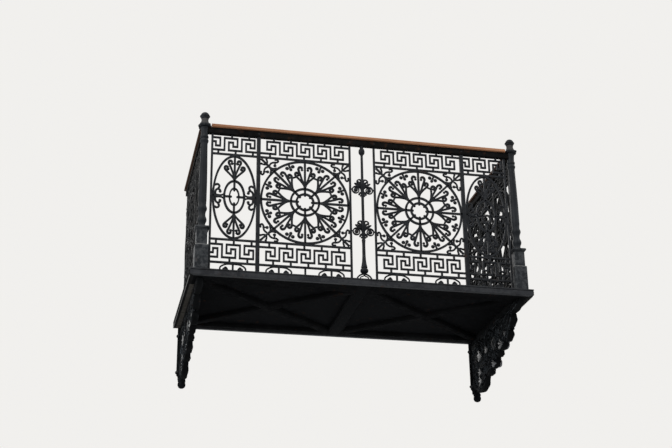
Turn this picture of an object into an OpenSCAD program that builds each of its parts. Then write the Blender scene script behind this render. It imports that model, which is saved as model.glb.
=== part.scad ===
// Iron balcony for a house front.
// A coffered deck on two leafy wall brackets carries a railing of cast panels,
// a turned centre baluster, two corner posts and a wooden handrail.
// X runs along the wall, Y into the wall, Z up.
// The origin is the middle of the deck's face against the wall.

/* [Deck] */
// Width of the deck along the wall
deck_w = 2284; // [2150:1:2420]
// Distance from the wall to the plane of the front panels
panel_d = 1034; // [960:1:1150]
// Deck edge in front of the front panels
deck_lip = 61; // [50:1:80]
// Deck edge outside the middle of the corner posts
side_lip = 72; // [50:1:90]
// Height of the deck's edge
deck_h = 42; // [36:1:70]
// Thickness of the deck's top plate
plate_t = 12; // [6:1:20]
// Thickness of the edge pieces and of the beam on the wall
edge_t = 30; // [20:1:45]
// Width of the crossed ribs under the deck
rib_w = 54; // [30:1:80]
// Width of the border round each coffered bay, at the wall and the sides
bay_border = 62; // [50:1:90]
// Width of the border at the front, behind the front edge
front_border = 130; // [90:1:160]
// Width of the beam between the two bays
mid_beam_w = 70; // [40:1:110]
// How far the bays' border stands out beside that beam
beam_lip = 15; // [8:1:30]

/* [Railing] */
// Height of the handrail's top over the deck
rail_h = 1050; // [900:1:1200]
// Thickness of the wooden handrail
wood_t = 26; // [18:1:40]
// Width of the wooden handrail
wood_w = 60; // [44:1:90]
// Height of the iron rail under the handrail
iron_h = 42; // [30:1:60]
// Depth of the iron rail, front to back
iron_w = 34; // [22:1:42]
// Thickness of the cast panels, front to back
panel_t = 14; // [8:1:20]
// Height of the level bars in the panels
bar_h = 13; // [9:1:18]
// Middle of the bar over the base strip, over the deck
bar_low = 70; // [60:1:90]
// Middle of the bar under the medallions, over the deck
bar_mid = 229; // [215:1:250]
// Middle of the bar over the medallions, over the deck
bar_top = 839; // [820:1:855]
// Width of the strong uprights between two panels
wide_stile = 25; // [16:1:36]
// Width of the thin uprights
thin_stile = 14; // [9:1:20]
// Depth of the strong uprights, front to back
stile_t = 24; // [16:1:32]
// Middle of the strong uprights from the middle of the balcony
wide_x = 706; // [690:1:725]
// Middle of the thin uprights beside the centre baluster
thin_x = 84.5; // [75:0.5:95]
// Middle of the thin end upright from the middle of the corner post
end_gap = 53.5; // [50:0.5:60]

/* [Key pattern] */
// Height of the key pattern between the middles of its top and bottom lines
key_h = 89; // [70:1:95]
// Width of its lines
key_line = 12; // [7:0.5:15]
// Length of one repeat
key_pitch = 115.5; // [100:0.5:130]
// Width of the lugs that join it to the bars
lug_w = 13; // [8:1:18]

/* [Medallions] */
// Width of the lines of the large ring
ring_line = 14; // [9:0.5:18]
// How far the large ring runs into the bars over and under it
ring_sink = 2; // [1:0.5:2]
// Gap between a rosette's large ring and the uprights beside it
ring_gap = 0.5; // [0.2:0.1:2]
// Width of the lines of the scrolls and leaves
vine_line = 11; // [7:0.5:14]
// Width of the spokes
spoke_line = 13; // [9:0.5:16]
// Middle radius of the ring in the rosette's middle
ring_a = 95; // [85:1:105]
// Middle radius of the innermost ring of the rosette
ring_b = 57; // [48:1:66]
// Radius of the balls at the ends of the scrolls
ball_r = 9; // [6:0.5:11]
// Width of the short posts in the base strip
short_post = 12; // [8:1:16]
// Radius of the circle on which the short ties between the leafy fans lie
tie_r = 187; // [180:1:192]

/* [Corner posts] */
// Width of the plinth's lower block
plinth_w = 78; // [66:1:84]
// Width of the plinth's upper block
block_w = 68; // [56:1:76]
// Width of the slab on the plinth and of the collar at the rail
collar_w = 92; // [84:1:100]
// Height of the plinth with its slab
plinth_h = 300; // [260:1:340]
// Greatest radius of the post's shaft
shaft_r = 25; // [18:0.5:30]
// Radius of the ball on the post
finial_r = 31; // [24:0.5:38]
// Radius and height of the neck under that ball
neck_r = 17; // [10:0.5:20]
neck_h = 32; // [26:1:38]

/* [Centre baluster] */
// Radius of its rod
rod_r = 10; // [7:0.5:14]
// Middle radius and line width of the small arch that it stands on
arch_r = 53; // [46:1:62]
arch_line = 10; // [7:0.5:13]
// Greatest radius and height of its turned foot
bell_r = 26; // [20:0.5:30]
bell_h = 110; // [90:1:130]
// Radius of the knob at its top, and how far the knob starts under the iron rail
knob_r = 20; // [15:0.5:24]
knob_drop = 62; // [50:1:74]
// Middle of its upper boss under the iron rail
boss_drop = 311; // [280:1:340]
// Height of the middle of its lower boss over the deck
boss_low = 368; // [340:1:400]

/* [Brackets] */
// Length of a bracket from the wall to its front tip
bracket_l = 1035; // [980:1:1060]
// Depth of a bracket under the deck at the wall
bracket_h = 388; // [380:1:420]
// Thickness of the bracket's plain web
web_t = 16; // [12:1:30]
// Thickness of the bracket's scrolls and edge, which stand out from the web
scroll_t = 46; // [32:1:50]
// Width of the bracket's scrolls
scroll_w = 24; // [18:1:32]
// Outer radius of the front scroll and of the scroll by the wall
front_turn = 104; // [98:1:110]
wall_turn = 138; // [132:1:142]
// Radius of the buds in the middle of the two scrolls
front_bud = 34; // [28:1:38]
wall_bud = 38; // [30:1:42]
// Width of the plate on the wall
flange_w = 90; // [84:1:110]
// Thickness of the plate on the wall
flange_t = 14; // [10:1:22]
// Diameter of the anchor holes in the plate
anchor_d = 14; // [10:1:18]
// Radius of the ball under the bracket
pendant_r = 26; // [18:1:28]

/* [Hidden] */

iron = "#2b2d31";
soffit = "#1d1f22";
timber = "#9a6a44";

deck_top = deck_h / 2;
deck_under = -deck_h / 2;
post_x = deck_w / 2 - side_lip;
post_y = -panel_d;
deck_d = panel_d + deck_lip;
rail_under = rail_h - wood_t - iron_h;
wood_under = rail_h - wood_t;
boss_high = rail_under - boss_drop;
collar_z = wood_under;
collar_t = 20;
bay_x = mid_beam_w / 2;
bay_w = deck_w / 2 - edge_t - bay_x;
bay_d = deck_d - 2 * edge_t;

// Clear widths of the two kinds of front panel, between the uprights' faces
rosette_w = wide_x - thin_x - wide_stile / 2 - thin_stile / 2;
oval_w = post_x - end_gap - wide_x - wide_stile / 2 - thin_stile / 2;

// On the side returns the oval panel stands by the post and the rosette by the wall
side_clear = panel_d - end_gap - thin_stile / 2 - oval_w - wide_stile - thin_stile;
side_stile_y = post_y + end_gap + thin_stile / 2 + oval_w + wide_stile / 2;

tie_l = 38;
tie_t = 9;
key_u = key_pitch * 0.29;
key_step = key_h / 3;

medallion_z = (bar_mid + bar_top) / 2;
medallion_h = bar_top - bar_mid - bar_h;

// Points on a smooth curve through p, with n steps between two points
function curve(p, n = 2) = concat(
    [for (i = [0:len(p) - 2]) for (k = [0:n - 1])
        let (a = p[max(i - 1, 0)], b = p[i], c = p[i + 1],
             d = p[min(i + 2, len(p) - 1)], t = k / n)
        0.5 * (2 * b + (c - a) * t + (2 * a - 5 * b + 4 * c - d) * t * t
               + (3 * b - a - 3 * c + d) * t * t * t)],
    [p[len(p) - 1]]);

function side_of(a, b) = [a[1] - b[1], b[0] - a[0]] / norm(b - a);

function point_side(p, i) =
    let (last = len(p) - 1,
         before = side_of(p[max(i - 1, 0)], p[max(i, 1)]),
         after = side_of(p[min(i, last - 1)], p[min(i + 1, last)]),
         both = (before + after) / norm(before + after))
    both / max(0.6, both * before);

// A band of width w along the points p
module band(p, w) {
    last = len(p) - 1;
    polygon(concat(
        [for (i = [0:last]) p[i] + point_side(p, i) * w / 2],
        [for (i = [last:-1:0]) p[i] - point_side(p, i) * w / 2]));
}

module ball(at, r = ball_r) {
    translate(at) rotate(22.5) circle(r = r, $fn = 8);
}

// An oval ring with its line's middle at radii rx and rz
module oval_ring(rx, rz, w, steps = 48) {
    difference() {
        scale([rx + w / 2, rz + w / 2]) circle(r = 1, $fn = steps);
        scale([rx - w / 2, rz - w / 2]) circle(r = 1, $fn = steps);
    }
}

// A scroll along p that ends in a ball
module scroll(p, w = vine_line, r = ball_r) {
    band(curve(p), w);
    ball(p[len(p) - 1], r);
}

module both_sides() {
    children();
    mirror([1, 0]) children();
}

// One leafy fan of the rosette, pointing up from the rosette's middle
module palmette(ring_r) {
    translate([-spoke_line / 2, ring_b]) square([spoke_line, ring_r - ring_b]);
    both_sides() {
        scroll([[2, 138], [24, 190], [43, 232], [32, 250], [17, 236]]);
        scroll([[2, 112], [34, 150], [66, 192], [57, 205], [44, 194]]);
    }
    ball([0, ring_b - 11], 7);
}

// The small three-lobed leaf inside the large ring
module trefoil(ring_r) {
    half = [[6, 0], [6, -18], [16, -16], [28, -22], [28, -32], [18, -37], [9, -32], [9, -45], [0, -51]];
    translate([0, ring_r]) both_sides() polygon(concat([[0, 0]], half));
}

// Scrolls in a corner outside the large ring, with the corner at the origin
// and the ornament in the positive quarter
module corner_scrolls(reach) {
    band([[8, 8], [reach, reach]], vine_line);
    for (flip = [0, 1]) mirror([flip, -flip]) {
        scroll([[2, 130], [22, 118], [28, 84], [50, 62], [74, 78], [64, 98], [50, 93]], 10);
        band([[38, 38], [6, 46]], 9);
        band([[66, 66], [86, 70]], 9);
    }
    ball([14, 14], 10);
}

// What lies inside the large ring of a rosette, for a round ring of radius r
module rosette_leaves(r) {
    oval_ring(ring_a, ring_a, vine_line, 40);
    oval_ring(ring_b, ring_b, vine_line, 32);
    for (a = [0:45:315]) rotate(a) palmette(r);
    for (a = [22.5:45:337.5]) rotate(a) trefoil(r);
    for (a = [22.5:45:337.5]) rotate(a) translate([-tie_l / 2, tie_r]) square([tie_l, tie_t]);
}

// The rosette, with its middle at the origin. Its ring fills the clear width w but for a gap
// on each side, and its leaves follow the ring.
module rosette(w, gap) {
    rz = medallion_h / 2 + ring_sink - ring_line / 2;
    rx = w / 2 - gap - ring_line / 2;
    oval_ring(rx, rz, ring_line, 72);
    scale([rx / rz, 1]) {
        rosette_leaves(rz);
        for (sx = [-1, 1], sz = [-1, 1]) scale([sx, sz])
            translate([-w / 2 * rz / rx, -medallion_h / 2])
                corner_scrolls(w / 2 * rz / rx - rz * sin(45));
    }
    for (a = [0, 180]) rotate(a) translate([rx, -spoke_line / 2])
        square([w / 2 - rx, spoke_line]);
}

// The tall oval medallion, with its middle at the origin
module oval(w) {
    rx = w / 2 - ring_line / 2;
    rz = medallion_h / 2 + ring_sink - ring_line / 2;
    oval_ring(rx, rz, ring_line, 64);
    oval_ring(66, 113, vine_line, 40);
    oval_ring(31, 60, 9, 32);
    for (s = [-1, 1]) scale([1, s]) {
        translate([-spoke_line / 2, 60 - 14]) square([spoke_line, rz - 46]);
        both_sides() {
            scroll([[2, 150], [20, 196], [37, 244], [27, 262], [14, 246]]);
            scroll([[2, 134], [32, 158], [65, 200], [57, 216], [44, 202]]);
        }
        both_sides() translate([-w / 2, 0]) scroll([[2, 74], [24, 84], [40, 68], [25, 48],
            [28, 28], [46, 32]], 10, 8);
    }
    for (s = [-1, 1]) scale([s, 1]) {
        translate([22, -spoke_line / 2]) square([w / 2 - 22, spoke_line]);
        ball([24, 0], 9);
        ball([w / 2 - 27, 0], 13);
    }
}

// One repeat of the key pattern, from a block's left line
function key_block(x) = [
    [x + 2 * key_u, key_h], [x + 2 * key_u, key_h - 2 * key_step],
    [x + key_u, key_h - 2 * key_step], [x + key_u, key_h - key_step],
    [x, key_h - key_step], [x, 0]];

// A strip of the key pattern over a clear width w, standing on its bottom line
module key_strip(w, first, blocks) {
    riser = 3.1 * key_u - key_line / 6;
    band(concat([[min(first, 0), key_h]],
        [for (k = [0:blocks - 1]) let (x = first + k * key_pitch) each concat(key_block(x),
            k < blocks - 1 ? [[x + riser, 0], [x + riser, key_h]] : [])],
        [[w, 0]]), key_line);
}

// Key pattern between the levels z0 and z1, with lugs to both
module key_frieze(w, first, blocks, z0, z1, flip) {
    gap = (z1 - z0 - key_h) / 2;
    translate([0, z0 + (z1 - z0) / 2]) scale([1, flip ? -1 : 1]) {
        intersection() {
            translate([0, -key_h / 2]) key_strip(w, first, blocks);
            translate([0, -(z1 - z0) / 2]) square([w, z1 - z0]);
        }
        for (k = [0:blocks - 1]) {
            low = first + k * key_pitch + 1.4 * key_u;
            high = first + k * key_pitch + 0.6 * key_u;
            if (low > lug_w) translate([low - lug_w / 2, -key_h / 2 - gap]) square([lug_w, gap + 1]);
            if (high > lug_w) translate([high - lug_w / 2, key_h / 2 - 1]) square([lug_w, gap + 1]);
        }
    }
}

// A pair of scrolls in the base strip, with a short post between them
module base_scrolls(x) {
    top = bar_low - bar_h / 2;
    translate([x, 0]) {
        translate([-short_post / 2, 0]) square([short_post, top + 1]);
        both_sides() scroll([[4, top - 2], [46, top - 5], [79, top - 24], [80, 16], [54, 5],
            [34, 20], [46, 38], [59, 26]], 8, 7);
    }
}

// The level bars of a panel
module bars(w) {
    for (z = [bar_low, bar_mid, bar_top])
        translate([0, z - bar_h / 2]) square([w, bar_h]);
}

// Outline of a rosette panel over the clear width w
module rosette_outline(w, gap) {
    steps = floor((w - 2 * key_u) / key_pitch);
    side = (w - steps * key_pitch - 2 * key_u) / 2;
    bars(w);
    translate([w / 2, medallion_z]) rosette(w, gap);
    key_frieze(w, side, steps + 1, bar_low + bar_h / 2, bar_mid - bar_h / 2, false);
    key_frieze(w, side, steps + 1, bar_top + bar_h / 2, rail_under, true);
    for (s = [-1, 1]) base_scrolls(w / 2 + s * key_pitch * steps * 3 / 8);
    translate([w / 2 - short_post / 2, 0]) square([short_post, bar_low]);
}

// Outline of an oval panel over the clear width w
module oval_outline(w) {
    first = w - 2 * key_pitch * 1.08 - key_pitch * 0.62;
    bars(w);
    translate([w / 2, medallion_z]) oval(w);
    key_frieze(w, first, 3, bar_low + bar_h / 2, bar_mid - bar_h / 2, true);
    key_frieze(w, first, 3, bar_top + bar_h / 2, rail_under, false);
    base_scrolls(w / 2);
}

// Stands an outline up as a cast panel with its front at y = 0
module cast_panel(t = panel_t) {
    translate([0, t / 2, deck_top]) rotate([90, 0, 0])
        linear_extrude(height = t) offset(delta = -0.05) offset(delta = 0.05) children();
}

// Places a child that faces the front on the left or right side of the balcony
module on_side(s) {
    translate([s * post_x, 0, 0]) rotate(s * 90) children();
}

module front_rosette(x) {
    color(iron) translate([x, post_y, 0]) cast_panel() rosette_outline(rosette_w, ring_gap);
}

// An oval panel keeps its own thin upright at the end by the post
module front_oval(s) {
    x = s < 0 ? -post_x + end_gap + thin_stile / 2 : wide_x + wide_stile / 2;
    end = s < 0 ? -thin_stile : oval_w;
    color(iron) translate([x, post_y, 0]) cast_panel() union() {
        oval_outline(oval_w);
        translate([end, 0]) square([thin_stile, rail_under]);
    }
}

// On a side return, x of the outline runs from the post to the wall or back
module side_oval(s) {
    near = -post_y - end_gap - thin_stile / 2 - oval_w;
    color(iron) on_side(s) translate([s > 0 ? -near - oval_w : near, 0, 0]) cast_panel() union() {
        oval_outline(oval_w);
        translate([s > 0 ? -thin_stile : oval_w, 0]) square([thin_stile, rail_under]);
    }
}

module side_rosette(s) {
    color(iron) on_side(s) translate([s > 0 ? -thin_stile - side_clear : thin_stile, 0, 0])
        cast_panel() rosette_outline(side_clear, ring_gap / 2);
}

// An upright of width w and depth t with its middle at x, y
module upright(x, y, w, t, h = rail_under) {
    color(iron) translate([x - w / 2, y - t / 2, deck_top]) cube([w, t, h]);
}

module deck_plate() {
    color(soffit) translate([-deck_w / 2 + edge_t, -deck_d + edge_t, deck_top - plate_t])
        cube([deck_w - 2 * edge_t, deck_d - 2 * edge_t, plate_t]);
}

module front_edge() {
    color(iron) translate([-deck_w / 2, -deck_d, deck_under]) cube([deck_w, edge_t, deck_h]);
}

module side_edge(s) {
    color(iron) translate([s > 0 ? deck_w / 2 - edge_t : -deck_w / 2, -deck_d + edge_t, deck_under])
        cube([edge_t, deck_d - edge_t, deck_h]);
}

module wall_beam() {
    color(iron) translate([-deck_w / 2 + edge_t, -edge_t, deck_under])
        cube([deck_w - 2 * edge_t, edge_t, deck_h]);
}

module middle_beam() {
    color(soffit) translate([-mid_beam_w / 2, -deck_d + edge_t, deck_under])
        cube([mid_beam_w, bay_d, deck_h - plate_t]);
}

// A border and crossed ribs under one half of the deck
module bay_ribs(s) {
    open_w = bay_w - bay_border - beam_lip;
    open_d = bay_d - bay_border - front_border;
    color(soffit) translate([s > 0 ? bay_x : -bay_x - bay_w, -deck_d + edge_t, deck_under])
        linear_extrude(height = deck_h - plate_t) {
            difference() {
                square([bay_w, bay_d]);
                translate([s > 0 ? beam_lip : bay_border, front_border]) square([open_w, open_d]);
            }
            translate([s > 0 ? beam_lip : bay_border, front_border]) intersection() {
                square([open_w, open_d]);
                union() {
                    band([[-rib_w, -rib_w * open_d / open_w],
                        [open_w + rib_w, open_d + rib_w * open_d / open_w]], rib_w);
                    band([[-rib_w, open_d + rib_w * open_d / open_w],
                        [open_w + rib_w, -rib_w * open_d / open_w]], rib_w);
                }
            }
        }
}

// Side view of a bracket: x from the wall to the front, y down from the deck. Its points are
// written for a bracket 1035 long and 388 deep, and follow the bracket's own length and depth.
function drawn(x, y) = [x / 1035 * bracket_l, y / 388 * bracket_h];

bracket_edge = [
    drawn(1035, 0), drawn(1030, -28), drawn(994, -48), drawn(936, -57), drawn(898, -68),
    drawn(902, -96), drawn(890, -122), drawn(864, -142), drawn(824, -148), drawn(786, -166),
    drawn(744, -182), drawn(702, -193), drawn(666, -208), drawn(630, -228), drawn(588, -244),
    drawn(544, -251), drawn(500, -268), drawn(456, -290), drawn(424, -310), drawn(384, -320),
    drawn(338, -326), drawn(306, -346), drawn(266, -368), drawn(216, -385), drawn(140, -388),
    drawn(66, -384)];
// From here to the front the bracket has its full thickness
bracket_tongue = drawn(868, 0)[0];
front_eye = drawn(508, -156);
wall_eye = drawn(168, -190);

function turn(eye, r0, r1, a0, a1, steps) = [for (i = [0:steps])
    let (r = r0 + (r1 - r0) * i / steps, a = a0 + (a1 - a0) * i / steps)
    eye + r * [cos(a), sin(a)]];

// The plain web has the bracket's whole outline
module bracket_side() {
    polygon(concat([[flange_t, 0]], curve(bracket_edge, 2), [[flange_t, drawn(66, -384)[1]]]));
}

module bracket_scrolls() {
    difference() {
        bracket_side();
        offset(delta = -scroll_w) bracket_side();
    }
    intersection() {
        bracket_side();
        union() {
            translate([bracket_tongue, -bracket_h]) square([bracket_l, bracket_h]);
            band(concat(curve([drawn(870, -40), drawn(760, -36), drawn(640, -44)]),
                turn(front_eye, front_turn, front_bud, 75, 450, 20)), scroll_w);
            band(concat(curve([drawn(346, -312), drawn(326, -268)]),
                turn(wall_eye, wall_turn, wall_bud + 2, -20, 380, 22)), scroll_w);
        }
    }
    translate(front_eye) circle(r = front_bud, $fn = 24);
    translate(wall_eye) circle(r = wall_bud, $fn = 24);
}

module bracket(s) {
    color(iron) for (part = [0, 1])
        translate([s * post_x - (part == 0 ? web_t : scroll_t) / 2, 0, deck_under])
            rotate([90, 0, -90]) mirror([0, 0, 1])
                linear_extrude(height = part == 0 ? web_t : scroll_t)
                    offset(delta = -0.05) offset(delta = 0.05)
                        if (part == 0) bracket_side(); else bracket_scrolls();
}

plate_h = -drawn(66, -384)[1];
anchor_x = (flange_w + scroll_t) / 4;
anchor_z = [-60, -plate_h + 60];

module wall_plate(s) {
    color(iron) difference() {
        translate([s * post_x - flange_w / 2, -flange_t, deck_under - plate_h])
            cube([flange_w, flange_t, plate_h]);
        for (x = [-anchor_x, anchor_x], z = anchor_z)
            translate([s * post_x + x, -flange_t - 1, deck_under + z]) rotate([-90, 0, 0])
                cylinder(d = anchor_d, h = flange_t + 2, $fn = 32);
    }
}

module pendant(s) {
    r = pendant_r;
    color(iron) translate([s * post_x, -r - 2, deck_under - plate_h])
        rotate_extrude($fn = 32) polygon([[0, 0], [r - 3, 0], [r - 3, -7], [r - 8, -13],
            [r - 8, -17], [r - 2, -24], [r, -34], [r - 3, -46], [r - 12, -56], [0, -60]]);
}

module plinth(s) {
    cap = 15;
    step = 130;
    color(iron) translate([s * post_x, post_y, deck_top]) {
        translate([-plinth_w / 2, -plinth_w / 2, 0])
            cube([plinth_w, plinth_w, plinth_h - step]);
        translate([-block_w / 2, -block_w / 2, plinth_h - step])
            cube([block_w, block_w, step - cap]);
        translate([-collar_w / 2, -collar_w / 2, plinth_h - cap])
            cube([collar_w, collar_w, cap]);
    }
}

// The turned shaft of a corner post, from the plinth to the collar
module post(s) {
    h = collar_z - plinth_h;
    r = shaft_r;
    color(iron) translate([s * post_x, post_y, deck_top + plinth_h]) rotate_extrude($fn = 48)
        polygon([[0, 0], [r + 3, 0], [r + 3, 6], [r - 5, 14], [r - 5, 28], [r + 2, 44],
            [r + 2, 62], [r - 4, 76], [r - 5, 100], [r - 2, 114], [r + 4, 126], [r + 4, 140],
            [r - 2, 152], [r, 184], [r - 1, h / 2], [r - 3, h - 190], [r - 4, h - 118],
            [r - 1, h - 110], [r + 1, h - 101], [r - 1, h - 92], [r - 4, h - 86],
            [r - 1, h - 80], [r + 1, h - 73], [r, h - 66], [r + 1, h], [0, h]]);
}

module finial(s) {
    r = neck_r;
    h = neck_h;
    color(iron) translate([s * post_x, post_y, deck_top + collar_z]) {
        translate([-collar_w / 2, -collar_w / 2, 0]) cube([collar_w, collar_w, collar_t]);
        translate([0, 0, collar_t]) rotate_extrude($fn = 48) {
            polygon([[0, 0], [finial_r, 0], [finial_r, h / 8], [r * 18 / 13, h * 3 / 8],
                [r, h * 5 / 8], [r, h * 15 / 16], [r * 17 / 13, h * 17 / 16], [0, h * 15 / 8]]);
            intersection() {
                translate([0, h * 15 / 16 + finial_r]) circle(r = finial_r, $fn = 48);
                square([finial_r, 2 * (finial_r + h)]);
            }
        }
    }
}

// The turned rod of the centre baluster on its small arch
module centre_baluster() {
    foot = arch_r + arch_line / 5;
    h = rail_under - foot;
    color(iron) translate([0, post_y, deck_top]) {
        rotate([90, 0, 0]) translate([0, 0, -panel_t / 2]) linear_extrude(height = panel_t)
            offset(delta = -0.05) offset(delta = 0.05) intersection() {
                oval_ring(arch_r, arch_r, arch_line, 40);
                translate([-2 * arch_r, 0]) square([4 * arch_r, 2 * arch_r]);
            }
        translate([0, 0, foot]) rotate_extrude($fn = 48) polygon(concat(
            [[0, 0]], [for (p = [[14, 0], [23, 8], [26, 20], [23, 32], [16, 38], [20, 44], [15, 66]])
                [p[0] * bell_r / 26, p[1] * bell_h / 110]],
            [[rod_r * 1.1, bell_h * 9 / 11], [rod_r, bell_h],
            [rod_r, h - knob_drop * 3 / 2], [rod_r * 1.2, h - knob_drop],
            [knob_r, h - knob_drop * 25 / 31], [knob_r, h - knob_drop * 13 / 31],
            [rod_r * 1.2, h - knob_drop * 7 / 31], [rod_r * 1.2, h], [0, h]]));
    }
}

// A leafy boss round the baluster's rod, with its middle z over the deck and a volute
// on each side that is tied to the thin upright
module boss(z) {
    t = 44;
    color(iron) difference() {
        translate([0, post_y, deck_top + z]) rotate([90, 0, 0])
            translate([0, 0, -t / 2]) linear_extrude(height = t)
                offset(delta = -0.05) offset(delta = 0.05) both_sides() {
                    polygon(curve([[0, 66], [18, 66], [36, 58], [46, 42], [38, 26], [22, 20],
                        [30, 2], [28, -18], [20, -38], [8, -52], [0, -54]], 3));
                    difference() {
                        translate([50, -14]) circle(r = 27, $fn = 32);
                        translate([52, -12]) circle(r = 14, $fn = 24);
                    }
                    ball([50, -16], 9);
                    translate([42, -18]) square([thin_x - thin_stile / 2 - 42, 8]);
                }
        translate([0, post_y, deck_top + z - 100]) cylinder(r = rod_r, h = 200, $fn = 48);
    }
}

// The iron rail meets the round tops of the corner posts
module post_tops() {
    for (s = [-1, 1])
        translate([s * post_x, post_y, deck_top + rail_under - 1])
            cylinder(r = shaft_r + 1, h = iron_h + 2, $fn = 48);
}

module front_iron_rail() {
    color(iron) difference() {
        translate([-post_x, post_y - iron_w / 2, deck_top + rail_under])
            cube([2 * post_x, iron_w, iron_h]);
        post_tops();
    }
}

module side_iron_rail(s) {
    color(iron) difference() {
        translate([s * post_x - iron_w / 2, post_y + iron_w / 2, deck_top + rail_under])
            cube([iron_w, panel_d - iron_w / 2, iron_h]);
        post_tops();
    }
}

// Section of the wooden handrail, with its top edges eased
module handrail_section() {
    ease = wood_t / 3;
    half = wood_w / 2;
    polygon([[-half, 0], [half, 0], [half, wood_t - ease], [half - ease / 3, wood_t - ease / 3],
        [half - ease, wood_t], [-half + ease, wood_t], [-half + ease / 3, wood_t - ease / 3],
        [-half, wood_t - ease]]);
}

module front_handrail() {
    color(timber) translate([-post_x + collar_w / 2, post_y, deck_top + wood_under])
        rotate([90, 0, 90]) linear_extrude(height = 2 * post_x - collar_w) handrail_section();
}

module side_handrail(s) {
    color(timber) translate([s * post_x, 0, deck_top + wood_under])
        rotate([90, 0, 0]) linear_extrude(height = panel_d - collar_w / 2) handrail_section();
}

deck_plate();
front_edge();
side_edge(-1);  // left_edge
side_edge(1);  // right_edge
wall_beam();
middle_beam();
bay_ribs(-1);  // left_bay_ribs
bay_ribs(1);  // right_bay_ribs
bracket(-1);  // left_bracket
wall_plate(-1);  // left_wall_plate
pendant(-1);  // left_pendant
bracket(1);  // right_bracket
wall_plate(1);  // right_wall_plate
pendant(1);  // right_pendant
plinth(-1);  // left_plinth
post(-1);  // left_post
finial(-1);  // left_finial
plinth(1);  // right_plinth
post(1);  // right_post
finial(1);  // right_finial
upright(-wide_x, post_y, wide_stile, stile_t);  // left_stile
upright(wide_x, post_y, wide_stile, stile_t);  // right_stile
upright(-thin_x, post_y, thin_stile, thin_stile);  // left_centre_stile
upright(thin_x, post_y, thin_stile, thin_stile);  // right_centre_stile
front_oval(-1);  // front_left_oval
front_rosette(-wide_x + wide_stile / 2);  // front_left_rosette
front_rosette(thin_x + thin_stile / 2);  // front_right_rosette
front_oval(1);  // front_right_oval
upright(-post_x, side_stile_y, stile_t, wide_stile);  // left_side_stile
upright(post_x, side_stile_y, stile_t, wide_stile);  // right_side_stile
upright(-post_x, -thin_stile / 2, thin_stile, thin_stile);  // left_wall_stile
upright(post_x, -thin_stile / 2, thin_stile, thin_stile);  // right_wall_stile
side_oval(-1);  // left_side_oval
side_rosette(-1);  // left_side_rosette
side_oval(1);  // right_side_oval
side_rosette(1);  // right_side_rosette
centre_baluster();
boss(boss_high);  // upper_boss
boss(boss_low);  // lower_boss
front_iron_rail();
side_iron_rail(-1);  // left_iron_rail
side_iron_rail(1);  // right_iron_rail
front_handrail();
side_handrail(-1);  // left_handrail
side_handrail(1);  // right_handrail
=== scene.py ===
"""Looks of an iron balcony: cast panels, turned posts, leafy brackets and a wooden handrail."""

import math

import bmesh
import bpy
import numpy as np
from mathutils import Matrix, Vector
from mathutils.geometry import tessellate_polygon


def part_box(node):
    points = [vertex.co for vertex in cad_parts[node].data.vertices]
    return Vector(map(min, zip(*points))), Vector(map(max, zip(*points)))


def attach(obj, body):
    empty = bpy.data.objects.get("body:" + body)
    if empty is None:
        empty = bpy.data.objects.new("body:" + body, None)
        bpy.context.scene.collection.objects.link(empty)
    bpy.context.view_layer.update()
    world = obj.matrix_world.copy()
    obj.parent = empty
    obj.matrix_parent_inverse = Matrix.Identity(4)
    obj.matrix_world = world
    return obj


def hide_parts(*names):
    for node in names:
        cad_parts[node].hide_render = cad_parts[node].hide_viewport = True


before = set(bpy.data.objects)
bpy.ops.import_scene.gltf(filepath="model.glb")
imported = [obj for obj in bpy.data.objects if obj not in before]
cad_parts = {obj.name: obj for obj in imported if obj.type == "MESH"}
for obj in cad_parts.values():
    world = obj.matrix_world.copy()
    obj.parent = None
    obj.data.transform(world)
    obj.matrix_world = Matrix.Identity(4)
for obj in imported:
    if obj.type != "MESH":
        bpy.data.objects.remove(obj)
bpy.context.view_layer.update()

MM = 0.001
UP = np.array([0.0, 0.0, 1.0])
# Directions of x and of the outside, for a plane that faces the street
STREET_AXES = ((1, 0, 0), (0, -1, 0))

# Levels over the deck and sizes of the cast panels, in millimetres
DECK_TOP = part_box("deck_plate")[1].z / MM
DECK_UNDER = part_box("front_edge")[0].z / MM
PANEL_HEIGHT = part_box("left_stile")[1].z / MM - DECK_TOP
PANEL_DEPTH = 14
PETAL_DEPTH = PANEL_DEPTH - 1
VINE_DEPTH = PANEL_DEPTH - 2
TWIG_DEPTH = PANEL_DEPTH - 3
# Depth of the side panels' castings as a share of the front panels'
SIDE_PANEL_SHARE = 1.5
BAR_HEIGHT = 13
BAR_LOW = 70
BAR_MID = 229
BAR_TOP = 839
THIN_STILE = 14
BASE_POST = 12

# Key frieze: one block is two units wide, and the next riser follows one unit later
KEY_PITCH = 115.5
KEY_UNIT = KEY_PITCH / 4
KEY_HEIGHT = 89
KEY_LINE = 12
LUG_WIDTH = 13
LOWER_LUG_X = 1.6 * KEY_UNIT
UPPER_LUG_X = 0.7 * KEY_UNIT
ROSETTE_BLOCKS = 5
ROSETTE_KEY_SHIFT = 3
OVAL_BLOCKS = 3
OVAL_KEY_REACH = 2.63 * KEY_PITCH

# Medallions: the large ring runs a little way into the bars over and under it
RING_LINE = 14
RING_BITE = 2
VINE = 14.5
SPOKE = 14
HUB_RING = 95
EYE_RING = 57
PETAL_BALL = 9.5
MEDALLION_Z = (BAR_MID + BAR_TOP) / 2
MEDALLION_HEIGHT = BAR_TOP - BAR_MID - BAR_HEIGHT
RING_RADIUS = MEDALLION_HEIGHT / 2 + RING_BITE - RING_LINE / 2

# A petal's width at shares of its length
PETAL_SHARES = (0, 0.4, 0.75, 1)
PETAL_WIDTHS = (12.5, 15, 19, 15.5)

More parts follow.
